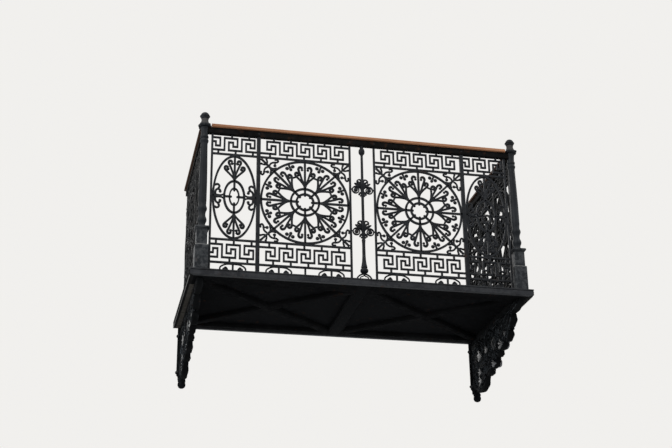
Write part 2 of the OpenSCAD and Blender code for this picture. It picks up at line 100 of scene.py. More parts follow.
# Cross sections as shares of a line's half width and half depth
FLAT = [(1, -0.8), (0.8, -1), (-0.8, -1), (-1, -0.8), (-1, 0.8), (-0.8, 1), (0.8, 1), (1, 0.8)]
ROUND = [(1, -0.3), (0.78, -0.72), (0.3, -1), (-0.3, -1), (-0.78, -0.72), (-1, -0.3),
         (-1, 0.3), (-0.78, 0.72), (-0.3, 1), (0.3, 1), (0.78, 0.72), (1, 0.3)]

# Places over a leaf's half width, and the small radius that closes a turned solid at its axis
LEAF_COLUMNS = np.array([-1, -0.65, -0.3, 0, 0.3, 0.65, 1])
AXIS = 0.5
# Angle in degrees from which an edge is drawn sharp
SHARP = 38

# Brackets: places from the wall and under the deck, in millimetres
FRONT_EYE = (508, -156)
WALL_EYE = (168, -190)
BRACKET_BACK = 14
BRACKET_REACH = 1024
BRACKET_FOOT = (66, -384)
TOP_BAR = 22
BACK_BAR = 20
SCROLL_DEPTH = 44
WEB_DEPTH = 14
PLATE_BOLT_X = 34
PLATE_BOLT_Z = 60


def box_mm(node):
    """The lowest and the highest corner of a node, in millimetres."""
    return [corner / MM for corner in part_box(node)]


def node_middle(node):
    """The middle of a node in x and y, and its lowest and highest level."""
    low, high = box_mm(node)
    return (low.x + high.x) / 2, (low.y + high.y) / 2, low.z, high.z


def curve(points, steps=7):
    """Points on a smooth curve through the given ones."""
    p = np.array(points, float)
    t = (np.arange(steps) / steps)[:, None]
    rows = []
    for i in range(len(p) - 1):
        a, b, c, d = p[max(i - 1, 0)], p[i], p[i + 1], p[min(i + 2, len(p) - 1)]
        rows.append(0.5 * (2 * b + (c - a) * t + (2 * a - 5 * b + 4 * c - d) * t ** 2
                           + (3 * b - a - 3 * c + d) * t ** 3))
    return np.vstack(rows + [p[-1:]])


def arc(centre, radius, start, end, steps):
    """Points on an arc or a spiral; a radius may be a pair that it changes between."""
    r0, r1 = radius if isinstance(radius, tuple) else (radius, radius)
    share = np.linspace(0, 1, steps + 1)
    angle = np.radians(start + (end - start) * share)
    r = r0 + (r1 - r0) * share
    return np.array(centre, float) + np.column_stack([r * np.cos(angle), r * np.sin(angle)])


def ring_points(rx, rz, steps):
    angle = np.arange(steps) * 2 * math.pi / steps
    return np.column_stack([rx * np.cos(angle), rz * np.sin(angle)])


class Line:
    """A cast line along a flat path, with its own width, depth and section."""

    def __init__(self, path, width, depth=PANEL_DEPTH, section=FLAT, closed=False):
        self.path = np.array(path, float)
        self.width = width
        self.depth = depth
        self.section = section
        self.closed = closed

    def changed(self, matrix, shift):
        return Line(self.path @ matrix.T + shift, self.width, self.depth, self.section, self.closed)


class Bead:
    """A rounded boss with two half axes in the plane and a half depth across it."""

    def __init__(self, centre, axes, depth):
        self.centre = np.array(centre, float)
        self.axes = np.array(axes, float)
        self.depth = depth

    def changed(self, matrix, shift):
        return Bead(matrix @ self.centre + shift, self.axes @ matrix.T, self.depth)


def ball(x, z, r, depth=PANEL_DEPTH / 2):
    return Bead((x, z), ((r, 0), (0, r)), depth)


def rod(path, width, depth=VINE_DEPTH):
    """A rounded line, straight between the points of its path."""
    return Line(path, width, depth, ROUND)


def vine(points, width, depth=VINE_DEPTH):
    """A rounded line on a smooth curve through the given points."""
    return rod(curve(points), width, depth)


def petal(points, end, r=PETAL_BALL):
    """A petal's line, thickest at its curled head, and the ball that it ends in."""
    path = curve(points)
    width = np.interp(np.linspace(0, 1, len(path)), PETAL_SHARES, PETAL_WIDTHS)
    return [rod(path, width, PETAL_DEPTH), ball(*end, r)]


def rings(*sizes):
    """Closed lines, each from its two radii, its number of steps and its width."""
    return [Line(ring_points(rx, rz, steps), width, closed=True) for rx, rz, steps, width in sizes]


def changed(shapes, matrix, shift=(0, 0)):
    return [s.changed(np.array(matrix, float), np.array(shift, float)) for s in shapes]


def moved(shapes, x, z):
    return changed(shapes, ((1, 0), (0, 1)), (x, z))


def scaled(shapes, sx, sz):
    return changed(shapes, ((sx, 0), (0, sz)))


def turned(shapes, degrees):
    c, s = math.cos(math.radians(degrees)), math.sin(math.radians(degrees))
    return changed(shapes, ((c, -s), (s, c)))


def both_sides(shapes):
    return shapes + scaled(shapes, -1, 1)


def capped(*stretches):
    """A turned profile made of its stretches, closed at the axis at both ends."""
    profile = np.vstack(stretches)
    return np.vstack([[(AXIS, profile[0, 1])], profile, [(AXIS, profile[-1, 1])]])


class Plane:
    """An upright plane: along is the direction of x, out is the direction that faces away."""

    def __init__(self, origin, along, out):
        self.origin = np.array(origin, float)
        self.along = np.array(along, float)
        self.out = np.array(out, float)

    def place(self, points):
        p = np.asarray(points, float)
        return self.origin + p[:, :1] * self.along + p[:, 1:2] * UP + p[:, 2:3] * self.out

    def across(self, dx, dz):
        """The direction in the plane at a right angle to (dx, dz)."""
        return self.along * -dz + UP * dx


class Casting:
    """Collects closed solids, in millimetres, and turns them into one piece."""

    def __init__(self):
        self.verts = []
        self.faces = []
        self.count = 0

    def add(self, verts, faces):
        verts = np.asarray(verts, float)
        self.verts.append(verts)
        self.faces.extend([tuple(i + self.count for i in f) for f in faces])
        self.count += len(verts)

    def tube(self, sections, closed=False):
        """A solid through sections of equally many points."""
        sections = np.asarray(sections, float)
        count, size = sections.shape[:2]
        faces = []
        for i in range(count if closed else count - 1):
            a, b = i * size, (i + 1) % count * size
            faces += [(a + j, b + j, b + (j + 1) % size, a + (j + 1) % size) for j in range(size)]
        if not closed:
            faces.append(tuple(range(size)))
            faces.append(tuple(range(count * size - 1, (count - 1) * size - 1, -1)))
        self.add(sections.reshape(-1, 3), faces)

    def line(self, plane, shape):
        side = side_vectors(shape.path, shape.closed)
        half = np.broadcast_to(np.asarray(shape.width, float) / 2, len(shape.path))
        deep = np.broadcast_to(np.asarray(shape.depth, float) / 2, len(shape.path))
        flat = np.array([[(p[0] + s[0] * h * a, p[1] + s[1] * h * a, t * d) for a, d in shape.section]
                         for p, s, h, t in zip(shape.path, side, half, deep)])
        self.tube(plane.place(flat.reshape(-1, 3)).reshape(flat.shape), shape.closed)

    def bead(self, plane, shape, sides=12, rows=6):
        angle = np.arange(sides) * 2 * math.pi / sides
        verts = [np.array([[*shape.centre, -shape.depth]])]
        for k in range(1, rows):
            lean = math.pi * k / rows - math.pi / 2
            flat = shape.centre + math.cos(lean) * (np.cos(angle)[:, None] * shape.axes[0]
                                                    + np.sin(angle)[:, None] * shape.axes[1])
            verts.append(np.column_stack([flat, np.full(sides, shape.depth * math.sin(lean))]))
        verts.append(np.array([[*shape.centre, shape.depth]]))
        self.add(plane.place(np.vstack(verts)), ball_faces(sides, rows))

    def draw(self, plane, shapes):
        for shape in shapes:
            if isinstance(shape, Line):
                self.line(plane, shape)
            else:
                self.bead(plane, shape)

    def plate(self, plane, outline, depth):
        """A flat plate, half of its depth on each side of the plane."""
        flat = np.asarray(outline, float)
        count = len(flat)
        triangles = tessellate_polygon([[Vector((*p, 0)) for p in flat]])
        verts = [np.column_stack([flat, np.full(count, level)]) for level in (-depth / 2, depth / 2)]
        faces = [tuple(t) for t in triangles] + [tuple(i + count for i in t[::-1]) for t in triangles]
        faces += [(j, (j + 1) % count, (j + 1) % count + count, j + count) for j in range(count)]
        self.add(plane.place(np.vstack(verts)), faces)

    def lathe(self, centre, profile, sides=48, shape=None):
        """A turned solid on an upright axis; shape gives a share of the radius at an angle."""
        angle = np.arange(sides) * 2 * math.pi / sides
        sections = []
        for r, z in profile:
            share = np.ones(sides) if shape is None else shape(angle, z)
            sections.append(np.column_stack([centre[0] + r * share * np.cos(angle),
                                             centre[1] + r * share * np.sin(angle),
                                             np.full(sides, centre[2] + z)]))
        self.tube(sections)

    def block(self, centre, width, low, high, edge):
        """A square block with its edges cut off."""
        half = width / 2
        less = 1 - edge / half
        corners = half * np.array([(1, -less), (1, less), (less, 1), (-less, 1),
                                   (-1, less), (-1, -less), (-less, -1), (less, -1)])
        self.tube([np.column_stack([corners * share + centre, np.full(len(corners), z)])
                   for share, z in ((less, low), (1, low + edge), (1, high - edge), (less, high))])

    def leaf(self, spine, across, width, lobes=3, thick=5, cup=0.3, ridge=0.25, steps=5):
        """A lobed leaf along a line in space; across is the direction of its width."""
        line = curve(spine, steps)
        share = np.linspace(0, 1, len(line))
        along = np.gradient(line, axis=0)
        along /= np.linalg.norm(along, axis=1)[:, None]
        across = np.array(across, float) / np.linalg.norm(across)
        face = np.cross(along, across)
        notch = 0.78 + 0.22 * np.abs(np.cos(math.pi * lobes * share)) ** 0.7
        half = width / 2 * notch * np.sqrt(np.clip(1 - (1.75 * share - 0.72) ** 2, 0.06, 1))
        lift = cup * LEAF_COLUMNS ** 2 + ridge * (1 - np.abs(LEAF_COLUMNS)) ** 2
        sections = []
        for p, f, h in zip(line, face, half):
            upper = p + np.outer(LEAF_COLUMNS * h, across) + np.outer(lift * h, f)
            sections.append(np.vstack([upper, (upper - f * thick)[::-1]]))
        self.tube(sections)

    def piece(self, name, material, slot, replaces=(), sharp=SHARP):
        mesh = bpy.data.meshes.new(name)
        mesh.from_pydata((np.vstack(self.verts) * MM).tolist(), [], self.faces)
        return dress(mesh, name, material, replaces, sharp)


def ball_faces(sides, rows):
    last = 1 + (rows - 1) * sides
    faces = []
    for j in range(sides):
        k = (j + 1) % sides
        faces.append((0, 1 + k, 1 + j))
        for i in range(rows - 2):
            a, b = 1 + i * sides, 1 + (i + 1) * sides
            faces.append((a + j, a + k, b + k, b + j))
        faces.append((last - sides + j, last - sides + k, last))
    return faces


def side_vectors(path, closed):
    """The side direction at each point, made longer at a corner so that the line keeps its width."""
    least_fit = 0.6
    if closed:
        after = np.roll(path, -1, 0) - path
        before = np.roll(after, 1, 0)
    else:
        steps = np.diff(path, axis=0)
        before = np.vstack([steps[:1], steps])
        after = np.vstack([steps, steps[-1:]])
    before = before / np.linalg.norm(before, axis=1)[:, None]
    after = after / np.linalg.norm(after, axis=1)[:, None]
    both = before + after
    both /= np.maximum(np.linalg.norm(both, axis=1), 1e-6)[:, None]
    fit = np.maximum((both * before).sum(1), least_fit)
    return np.column_stack([-both[:, 1], both[:, 0]]) / fit[:, None]


def dress(mesh, name, material, replaces=(), sharp=SHARP):
    """Makes a mesh one piece of the balcony, with its material and the nodes that it stands for."""
    bm = bmesh.new()
    bm.from_mesh(mesh)
    bmesh.ops.recalc_face_normals(bm, faces=bm.faces)
    bm.to_mesh(mesh)
    bm.free()
    mesh.materials.clear()
    mesh.materials.append(material)
    mesh.polygons.foreach_set("use_smooth", [True] * len(mesh.polygons))
    mesh.set_sharp_from_angle(angle=math.radians(sharp))
    piece = bpy.data.objects.new(name, mesh)
    bpy.context.scene.collection.objects.link(piece)
    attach(piece, "root")
    if replaces:
        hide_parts(*replaces)
    return piece


def softened(node, material, bevel):
    """A copy of a plain node with its sharp edges rounded."""
    level_angle, edge_angle = math.radians(1), math.radians(30)
    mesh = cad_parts[node].data.copy()
    bm = bmesh.new()
    bm.from_mesh(mesh)
    bmesh.ops.remove_doubles(bm, verts=bm.verts, dist=1e-6)
    bmesh.ops.dissolve_limit(bm, angle_limit=level_angle, verts=bm.verts, edges=bm.edges)
    sharp = [e for e in bm.edges if e.is_manifold and e.calc_face_angle() > edge_angle]
    bmesh.ops.bevel(bm, geom=sharp, offset=bevel * MM, segments=2, profile=0.6,
                    affect="EDGES", clamp_overlap=True)
    bm.to_mesh(mesh)
    bm.free()
    return dress(mesh, node + "_soft", material, [node])


# Materials

class Nodes:
    """Short calls for building the nodes of a material or a world."""

    def __init__(self, owner):
        owner.use_nodes = True
        self.owner = owner
        self.tree = owner.node_tree
        self.shader = self.tree.nodes.get("Principled BSDF")

    def fill(self, node, sockets):
        """Sets sockets to numbers or colours, or links them to other nodes' outputs."""
        for key, value in sockets.items():
            if isinstance(value, bpy.types.NodeSocket):
                self.tree.links.new(value, node.inputs[key])
            else:
                node.inputs[key].default_value = value

    def new(self, kind, sockets=None, **values):
        node = self.tree.nodes.new(kind)
        for key, value in values.items():
            setattr(node, key, value)
        self.fill(node, sockets or {})
        return node

    def object_place(self):
        return self.new("ShaderNodeTexCoord").outputs["Object"]

    def upward(self):
        """How far a face looks up, from -1 to 1."""
        normal = self.new("ShaderNodeNewGeometry").outputs["Normal"]
        return self.new("ShaderNodeSeparateXYZ", {0: normal}).outputs["Z"]

    def noise(self, vector, scale, detail=4.0, rough=0.55):
        return self.new("ShaderNodeTexNoise", {"Vector": vector, "Scale": scale, "Detail": detail,
                                               "Roughness": rough}).outputs["Fac"]

    def ramp(self, value, low, high, start=0.0, end=1.0):
        """Maps low..high to start..end, smoothly and clamped."""
        return self.new("ShaderNodeMapRange",
                        {"Value": value, "From Min": low, "From Max": high, "To Min": start, "To Max": end},
                        interpolation_type="SMOOTHSTEP").outputs["Result"]

    def math(self, operation, a, b):
        return self.new("ShaderNodeMath", {0: a, 1: b}, operation=operation).outputs[0]

    def mix(self, share, a, b):
        a, b = ((*colour, 1) if isinstance(colour, tuple) else colour for colour in (a, b))
        return self.new("ShaderNodeMix", {"Factor": share, "A": a, "B": b},
                        data_type="RGBA").outputs["Result"]

    def shaded(self, colour, roughness, gloss, height, strength, distance):
        """The material, with its shader's looks and a bump of the given height."""
        bump = self.new("ShaderNodeBump", {"Height": height, "Strength": strength, "Distance": distance})
        self.fill(self.shader, {"Base Color": colour, "Roughness": roughness,
                                "Specular IOR Level": gloss, "Normal": bump.outputs["Normal"]})
        return self.owner


RUST = (0.050, 0.022, 0.011)
# Numbers of noise waves in a metre
BROAD_WAVES = 5
RUST_WAVES = 17
PATCH_WAVES = 28
GRAIN_WAVES = 260


def painted_iron(name, colour, dust_and_top_light, worn_edge_and_highlight, roughness=0.5, rust=0.08, gloss=0.12, under=None):
    """Old cast-iron paint: uneven tone, casting grain, dust and painted top light, wear and painted edge
    highlights, painted shade below where under is given.
    """
    n = Nodes(bpy.data.materials.new(name))
    place = n.object_place()
    upward = n.upward()
    broad = n.noise(place, BROAD_WAVES, 5, 0.6)
    grain = n.noise(place, GRAIN_WAVES, 3)
    patch = n.noise(place, PATCH_WAVES, 6, 0.65)
    lighter = tuple(c * 1.7 + 0.001 for c in colour)
    tone = n.mix(n.ramp(broad, 0.35, 0.68), colour, lighter)
    # Faces that look up turn paler: dust, and painted light falling from above.
    top = n.math("MULTIPLY", n.ramp(upward, 0.35, 0.95), n.ramp(patch, 0.3, 0.62, 0.35, 1))
    tone = n.mix(top, tone, dust_and_top_light)
    # Faces that look down turn darker: painted shade under the deck and its edges.
    if under:
        down = n.ramp(n.math("MULTIPLY", upward, -1.0), 0.5, 0.9)
        tone = n.mix(n.math("MULTIPLY", down, n.ramp(patch, 0.25, 0.6, 0.6, 1)), tone, under)
    # Sharp edges turn paler: worn paint, and with the brighter edge colours a painted highlight.
    pointed = n.new("ShaderNodeNewGeometry").outputs["Pointiness"]
    edge = n.math("MULTIPLY", n.ramp(pointed, 0.53, 0.6), n.ramp(patch, 0.42, 0.6))
    tone = n.mix(edge, tone, worn_edge_and_highlight)
    rusty = n.ramp(n.noise(place, RUST_WAVES, 8, 0.7), 0.66 - rust, 0.74 - rust * 0.5)
    spots = n.math("MULTIPLY", rusty, n.ramp(patch, 0.45, 0.6, 0, 0.6))
    rough = n.math("ADD", n.ramp(patch, 0.3, 0.7, roughness - 0.1, roughness + 0.12),
                   n.math("MULTIPLY", spots, 0.25))
    height = n.math("ADD", grain, n.math("MULTIPLY", patch, 1.4))
    return n.shaded(n.mix(spots, tone, RUST), rough, gloss, height, 0.35, 0.0012)


def oiled_wood(name, stretch, shade=1.0, gloss=0.2):
    """Reddish handrail wood, grain along the rail, a paler top from wear and painted top light; shade is
    painted shade.
    """
    n = Nodes(bpy.data.materials.new(name))
    place = n.new("ShaderNodeMapping", {"Vector": n.object_place(), "Scale": stretch}).outputs["Vector"]
    figure = n.noise(place, 1.0, 6, 0.6)
    fibre = n.noise(place, 5.5, 4, 0.7)
    dark, middle, pore, pale = (tuple(c * shade for c in colour) for colour in (
        (0.205, 0.083, 0.037), (0.39, 0.180, 0.088), (0.12, 0.050, 0.027), (0.46, 0.265, 0.155)))
    tone = n.mix(n.ramp(figure, 0.32, 0.66), dark, middle)
    tone = n.mix(n.ramp(fibre, 0.52, 0.7, 0, 0.55), tone, pore)
    # Paler on top: wear, and painted light falling on the top.
    top = n.math("MULTIPLY", n.ramp(n.upward(), 0.2, 0.9), n.ramp(figure, 0.3, 0.6, 0.35, 0.8))
    return n.shaded(n.mix(top, tone, pale), n.ramp(fibre, 0.3, 0.7, 0.42, 0.62), gloss, fibre, 0.4, 0.0008)


RAIL_IRON = painted_iron(
    "railing_paint", (0.0075, 0.0082, 0.0098), (0.026, 0.026, 0.0255), (0.026, 0.027, 0.029))
# Painted shade: a darker copy of the railing paint for the side returns.
SHADED_SIDE_RAIL_IRON = painted_iron(
    "shaded_side_railing_paint", (0.0042, 0.0044, 0.0048), (0.020, 0.020, 0.0195), (0.022, 0.023, 0.024),
    roughness=0.6, gloss=0.05)
EDGE_IRON = painted_iron(
    "edge_paint", (0.0150, 0.0155, 0.0175), (0.045, 0.044, 0.042), (0.034, 0.035, 0.037), roughness=0.55)
# Painted shade: a darker copy of the edge paint for the side edges, darker still on faces that look down.
SHADED_SIDE_EDGE_IRON = painted_iron(
    "shaded_side_edge_paint", (0.0070, 0.0070, 0.0072), (0.040, 0.039, 0.037), (0.012, 0.012, 0.012),
    roughness=0.75, gloss=0.03, under=(0.0050, 0.0048, 0.0045))
# Deck paint: its under colour is painted shade on the faces that look down.
DECK_IRON = painted_iron(
    "deck_paint", (0.0060, 0.0060, 0.0062), (0.045, 0.043, 0.040), (0.010, 0.0105, 0.0115),
    roughness=0.85, gloss=0.02, under=(0.0028, 0.0029, 0.0032))
# Near black with dark tops and edges: painted shade on the bracket body, scrolls and wall plate under the
# deck.
BRACKET_DARK = painted_iron(
    "bracket_body_paint", (0.0032, 0.0034, 0.0036), (0.012, 0.012, 0.012), (0.012, 0.013, 0.014),
    roughness=0.8, gloss=0.03)
# Bracket paint: its bright edge colour is partly wear, partly a painted highlight on the leaves.
BRACKET_IRON = painted_iron(
    "bracket_paint", (0.0034, 0.0038, 0.0044), (0.024, 0.025, 0.026), (0.072, 0.079, 0.085),
    roughness=0.65, gloss=0.03)
# Darker and browner than the railing paint, with more rust: painted shade on the iron rails under the
# handrails.
UNDER_RAIL_IRON = painted_iron(
    "under_rail_paint", (0.0036, 0.0033, 0.0030), (0.020, 0.019, 0.018), (0.010, 0.010, 0.010),
    roughness=0.75, rust=0.14, gloss=0.03)
# Plinth and post paint: its paler edge colour is partly wear, partly a painted highlight on the rings.
PLINTH_IRON = painted_iron(
    "plinth_paint", (0.0105, 0.0118, 0.0135), (0.030, 0.030, 0.030), (0.050, 0.052, 0.054))
# Pale paint for the finials' necks, lighter than the iron round them.
PALE_NECK_IRON = painted_iron(
    "pale_neck_paint", (0.055, 0.052, 0.050), (0.10, 0.095, 0.09), (0.12, 0.115, 0.11),
    roughness=0.7, rust=0.05, gloss=0.05)
# Smooth, glossy bracket paint: its gloss catches real reflections, its paler colour is a painted highlight.
BRACKET_HIGHLIGHT = painted_iron(
    "bracket_highlight_paint", (0.014, 0.015, 0.016), (0.050, 0.052, 0.052), (0.085, 0.088, 0.090),
    roughness=0.3, rust=0.04, gloss=1.0)
# Much lighter than the deck paint: painted bounce light from the wall on the strip under the deck.
SOFFIT_STRIP = painted_iron(
    "soffit_strip_paint", (0.040, 0.036, 0.031), (0.09, 0.085, 0.078), (0.08, 0.074, 0.066),
    roughness=0.8, rust=0.12, gloss=0.03)
# Pale paint for thin beads; on the side edges' arris its paleness is a painted highlight.
ARRIS = painted_iron(
    "arris_paint", (0.13, 0.125, 0.118), (0.20, 0.195, 0.185), (0.22, 0.215, 0.205),
    roughness=0.6, rust=0.1, gloss=0.05)
BOLT_STEEL = painted_iron(
    "bolt_paint", (0.012, 0.012, 0.013), (0.04, 0.039, 0.037), (0.06, 0.06, 0.06),
    roughness=0.45, rust=0.16, gloss=0.3)
FRONT_WOOD = oiled_wood("handrail_wood_front", (3.0, 55.0, 55.0))
# Painted shade: the side handrails get a darker, duller copy of the front wood.
SHADED_SIDE_WOOD = oiled_wood("handrail_wood_side_shaded", (55.0, 3.0, 55.0), shade=0.17, gloss=0.05)


# Cast panels, drawn in millimetres with x from the panel's left end and z over the deck

def palmette(ring):
    """One leafy fan of the rosette, pointing up from the middle."""
    inner = petal([[3, 118], [12, 142], [22, 167], [33, 202], [42, 226], [44, 241], [37, 252], [26, 253],
                   [17, 244]], (20, 234))
    outer = petal([[2, 106], [10, 128], [33, 158], [55, 180], [65, 195], [63, 207], [53, 211], [43, 203]],
                  (45, 194))
    spoke = Line([[0, EYE_RING], [0, ring]], SPOKE)
    root = rod([[0, 100], [0, 120], [0, 136], [0, 150]], [16, 26, 38, 30])
    return [spoke, root, ball(0, EYE_RING - 9, 9)] + both_sides(inner + outer)


def trefoil(ring):
    """The small three-lobed leaf that hangs from the large ring."""
    lobe = Bead((21, -28), ((13, 4), (-4, 13)), PANEL_DEPTH / 2)
    tip = Bead((0, -44), ((11.5, 0), (0, 13)), PANEL_DEPTH / 2)
    stalk = rod([[0, 2], [0, -36]], 14, TWIG_DEPTH)
    return moved([stalk, tip] + both_sides([lobe]), 0, ring)


def corner_scrolls(reach):
    """The scrolls in one corner outside the large ring, alike on both sides of its diagonal."""
    shapes = [Line([[5, 5], [reach, reach]], 13), ball(12, 12, 9)]
    stem = vine([[50, 61], [38, 68], [29, 80], [25, 97], [24, 110], [16, 120], [7, 116], [4, 103]], 13)
    bud_stalk = rod([[26, 100], [40, 98]], 11, TWIG_DEPTH)
    side_stem = vine([[58, 60], [68, 72], [72, 88], [67, 110]], 13)
    branch = vine([[42, 44], [24, 46], [4, 39]], 12.5, TWIG_DEPTH)
    half = [stem, ball(5, 101, 8), bud_stalk, ball(49, 98, 11.5), side_stem, branch, ball(7, 41, 8.5)]
    for side in (((1, 0), (0, 1)), ((0, 1), (1, 0))):
        shapes += changed(half, side)
    return shapes


def rosette(width):
    """A rosette that fills the clear width; its leaves follow its ring."""
    r = RING_RADIUS
    fans, clearance = 8, 0.5
    stretch = (width / 2 - clearance - RING_LINE / 2) / r
    half_width = width / 2 / stretch
    shapes = rings((r, r, 96, RING_LINE), (HUB_RING, HUB_RING, 64, VINE), (EYE_RING, EYE_RING, 48, VINE))
    tie = rod([[-19, 189], [19, 189]], 13)
    for k in range(fans):
        shapes += turned(palmette(r), 360 / fans * k)
        shapes += turned(trefoil(r) + [tie], 360 / fans * (k + 0.5))
    corner = moved(corner_scrolls(half_width - r * math.sin(math.pi / 4)), -half_width, -MEDALLION_HEIGHT / 2)
    for sx in (-1, 1):
        for sz in (-1, 1):
            shapes += scaled(corner, sx, sz)
        shapes.append(Line([[sx * r, 0], [sx * half_width, 0]], SPOKE))
    return scaled(shapes, stretch, 1)


def oval(width):
    """An oval that fills the clear width, with a fan at both ends and scrolls at both sides."""
    edge = width / 2
    shapes = rings((edge - RING_LINE / 2, RING_RADIUS, 96, RING_LINE), (66, 113, 64, VINE), (31, 60, 48, 10))
    fan = (petal([[2, 138], [9, 164], [20, 196], [33, 228], [40, 245], [36, 257], [26, 260], [17, 251]],
                 (18, 240), 11)
           + petal([[2, 124], [13, 142], [33, 164], [55, 186], [65, 201], [63, 213], [53, 217], [43, 209]],
                   (45, 199), 11.5))
    stem = [Line([[0, 48], [0, RING_RADIUS]], SPOKE), ball(0, 46, 8),
            rod([[0, 118], [0, 134], [0, 150]], [14, 26, 20])]
    hook = vine([[edge - 9, 78], [edge - 21, 78], [edge - 32, 84], [edge - 44, 78], [edge - 47, 66],
                 [edge - 41, 54]], 15)
    curl = vine([[edge - 22, 10], [edge - 22, 28], [edge - 27, 42], [edge - 39, 49], [edge - 51, 43],
                 [edge - 55, 33]], 14.5)
    tie = vine([[62, 32], [68, 17], [81, 8], [100, 6], [edge - 19, 10]], 12)
    half = both_sides(fan) + stem + both_sides([hook, curl, ball(edge - 53, 32, 10.5), tie])
    for sz in (-1, 1):
        shapes += scaled(half, 1, sz)
    for sx in (-1, 1):
        shapes += [Line([[sx * 20, 0], [sx * 68, 0]], 13), ball(sx * 22, 0, 9),
                   Line([[sx * 90, 0], [sx * edge, 0]], 12), ball(sx * (edge - 26), 0, 12.5)]
    return shapes


def key_line(width, first, blocks):
    """The unbroken line of the key pattern, standing on its bottom line."""
    third = KEY_HEIGHT / 3
    points = [(min(first, 0), KEY_HEIGHT)]
    for k in range(blocks):
        x = first + k * KEY_PITCH
        inner, right, riser = (x + units * KEY_UNIT for units in (1, 2, 3))
        points += [(right, KEY_HEIGHT), (right, third), (inner, third), (inner, 2 * third),
                   (x, 2 * third), (x, 0)]
        if k < blocks - 1:
            points += [(riser, 0), (riser, KEY_HEIGHT)]
    return points + [(width, 0)]


def inside(points, low, high):
    """The stretches of a line of level and upright steps that lie between two upright lines."""
    stretches, now = [], []
    for a, b in zip(points, points[1:]):
        ax, bx = np.clip(a[0], low, high), np.clip(b[0], low, high)
        hidden = (a[0] < low and b[0] < low) or (a[0] > high and b[0] > high)
        if hidden or (ax == bx and a[1] == b[1]):
            if len(now) > 1:
                stretches.append(now)
            now = []
            continue
        if not now:
            now = [(ax, a[1])]
        now.append((bx, b[1]))
    return stretches + ([now] if len(now) > 1 else [])


def key_frieze(width, first, blocks, z0, z1, flip):
    """Key pattern between the levels z0 and z1, with short lugs to the bars over and under it."""
    gap = (z1 - z0 - KEY_HEIGHT) / 2
    shapes = [Line(s, KEY_LINE) for s in inside(key_line(width, first, blocks), 0, width)]
    lugs = ((LOWER_LUG_X, -gap, 1), (UPPER_LUG_X, KEY_HEIGHT - 1, KEY_HEIGHT + gap))
    for k in range(blocks):
        for shift, start, end in lugs:
            x = first + k * KEY_PITCH + shift
            if x > LUG_WIDTH:
                shapes.append(Line([[x, start], [x, end]], LUG_WIDTH))
    shapes = moved(shapes, 0, -KEY_HEIGHT / 2)
    return moved(scaled(shapes, 1, -1 if flip else 1), 0, (z0 + z1) / 2)


def base_scrolls(x):
    """A pair of scrolls in the base strip with a short post between them."""
    top = BAR_LOW - BAR_HEIGHT / 2
    half = [vine([[4, top - 2], [46, top - 5], [79, top - 24], [80, 16], [54, 5], [34, 20], [46, 38],
                  [59, 26]], 10.5), ball(59, 26, 8), ball(50, 23, 12.5)]
    return moved([Line([[0, 0], [0, top + 1]], BASE_POST)] + both_sides(half), x, 0)


def panel(width, medallion, first, blocks, flip):
    """What every panel has: three bars, a medallion and a key frieze at the bottom and at the top."""
    shapes = [Line([[0, z], [width, z]], BAR_HEIGHT) for z in (BAR_LOW, BAR_MID, BAR_TOP)]
    shapes += moved(medallion, width / 2, MEDALLION_Z)
    shapes += key_frieze(width, first, blocks, BAR_LOW + BAR_HEIGHT / 2, BAR_MID - BAR_HEIGHT / 2, flip)
    return shapes + key_frieze(width, first, blocks, BAR_TOP + BAR_HEIGHT / 2, PANEL_HEIGHT, not flip)


def rosette_panel(width):
    """A rosette panel, its key friezes a little to the right of its middle."""
    frieze_width = (ROSETTE_BLOCKS - 1) * KEY_PITCH + 2 * KEY_UNIT
    first = (width - frieze_width) / 2 + ROSETTE_KEY_SHIFT
    shapes = panel(width, rosette(width), first, ROSETTE_BLOCKS, False)
    for side in (-1.5, 1.5):
        shapes += base_scrolls(width / 2 + side * KEY_PITCH)
    return shapes + [Line([[width / 2, 0], [width / 2, BAR_LOW]], BASE_POST)]


def oval_panel(width, upright_x):
    """An oval panel with its own thin upright at one end."""
    shapes = panel(width, oval(width), width - OVAL_KEY_REACH, OVAL_BLOCKS, True)
    shapes += base_scrolls(width / 2)
    return shapes + [Line([[upright_x, 0], [upright_x, PANEL_HEIGHT]], THIN_STILE)]


def panel_plane(node, skip=0):
    """A panel's plane and width; x = 0 lies skip millimetres from its left end as seen from outside."""
    low, high = box_mm(node)
    middle = (low + high) / 2
    if high.x - low.x > high.y - low.y:
        origin, along, out, width = (low.x, middle.y), (1, 0, 0), (0, -1, 0), high.x - low.x
    elif middle.x > 0:
        origin, along, out, width = (middle.x, low.y), (0, 1, 0), (1, 0, 0), high.y - low.y
    else:
        origin, along, out, width = (middle.x, high.y), (0, -1, 0), (-1, 0, 0), high.y - low.y
    start = np.array((*origin, DECK_TOP)) + skip * np.array(along)
    deep = 1 if out[1] else SIDE_PANEL_SHARE
    return Plane(start, along, np.array(out) * deep), width


def panel_paint(node):
    """The side returns get a darker copy of the front's paint, as painted shade."""
    return SHADED_SIDE_RAIL_IRON if "side" in node else RAIL_IRON


def make_panel(node, plane, shapes):
    casting = Casting()
    casting.draw(plane, shapes)
    casting.piece(node + "_casting", panel_paint(node), "railing_iron", [node])


def make_panels():
    """Four rosette panels, then four oval ones with an upright at the left or the right end."""
    for place in ("front_left", "front_right", "left_side", "right_side"):
        plane, width = panel_plane(place + "_rosette")
        make_panel(place + "_rosette", plane, rosette_panel(width))
    for place, at_right in (("front_left", False), ("front_right", True), ("left_side", True),
                            ("right_side", False)):
        plane, width = panel_plane(place + "_oval", 0 if at_right else THIN_STILE)
        upright_x = width - THIN_STILE / 2 if at_right else -THIN_STILE / 2
        make_panel(place + "_oval", plane, oval_panel(width - THIN_STILE, upright_x))


# Posts, finials and the centre baluster

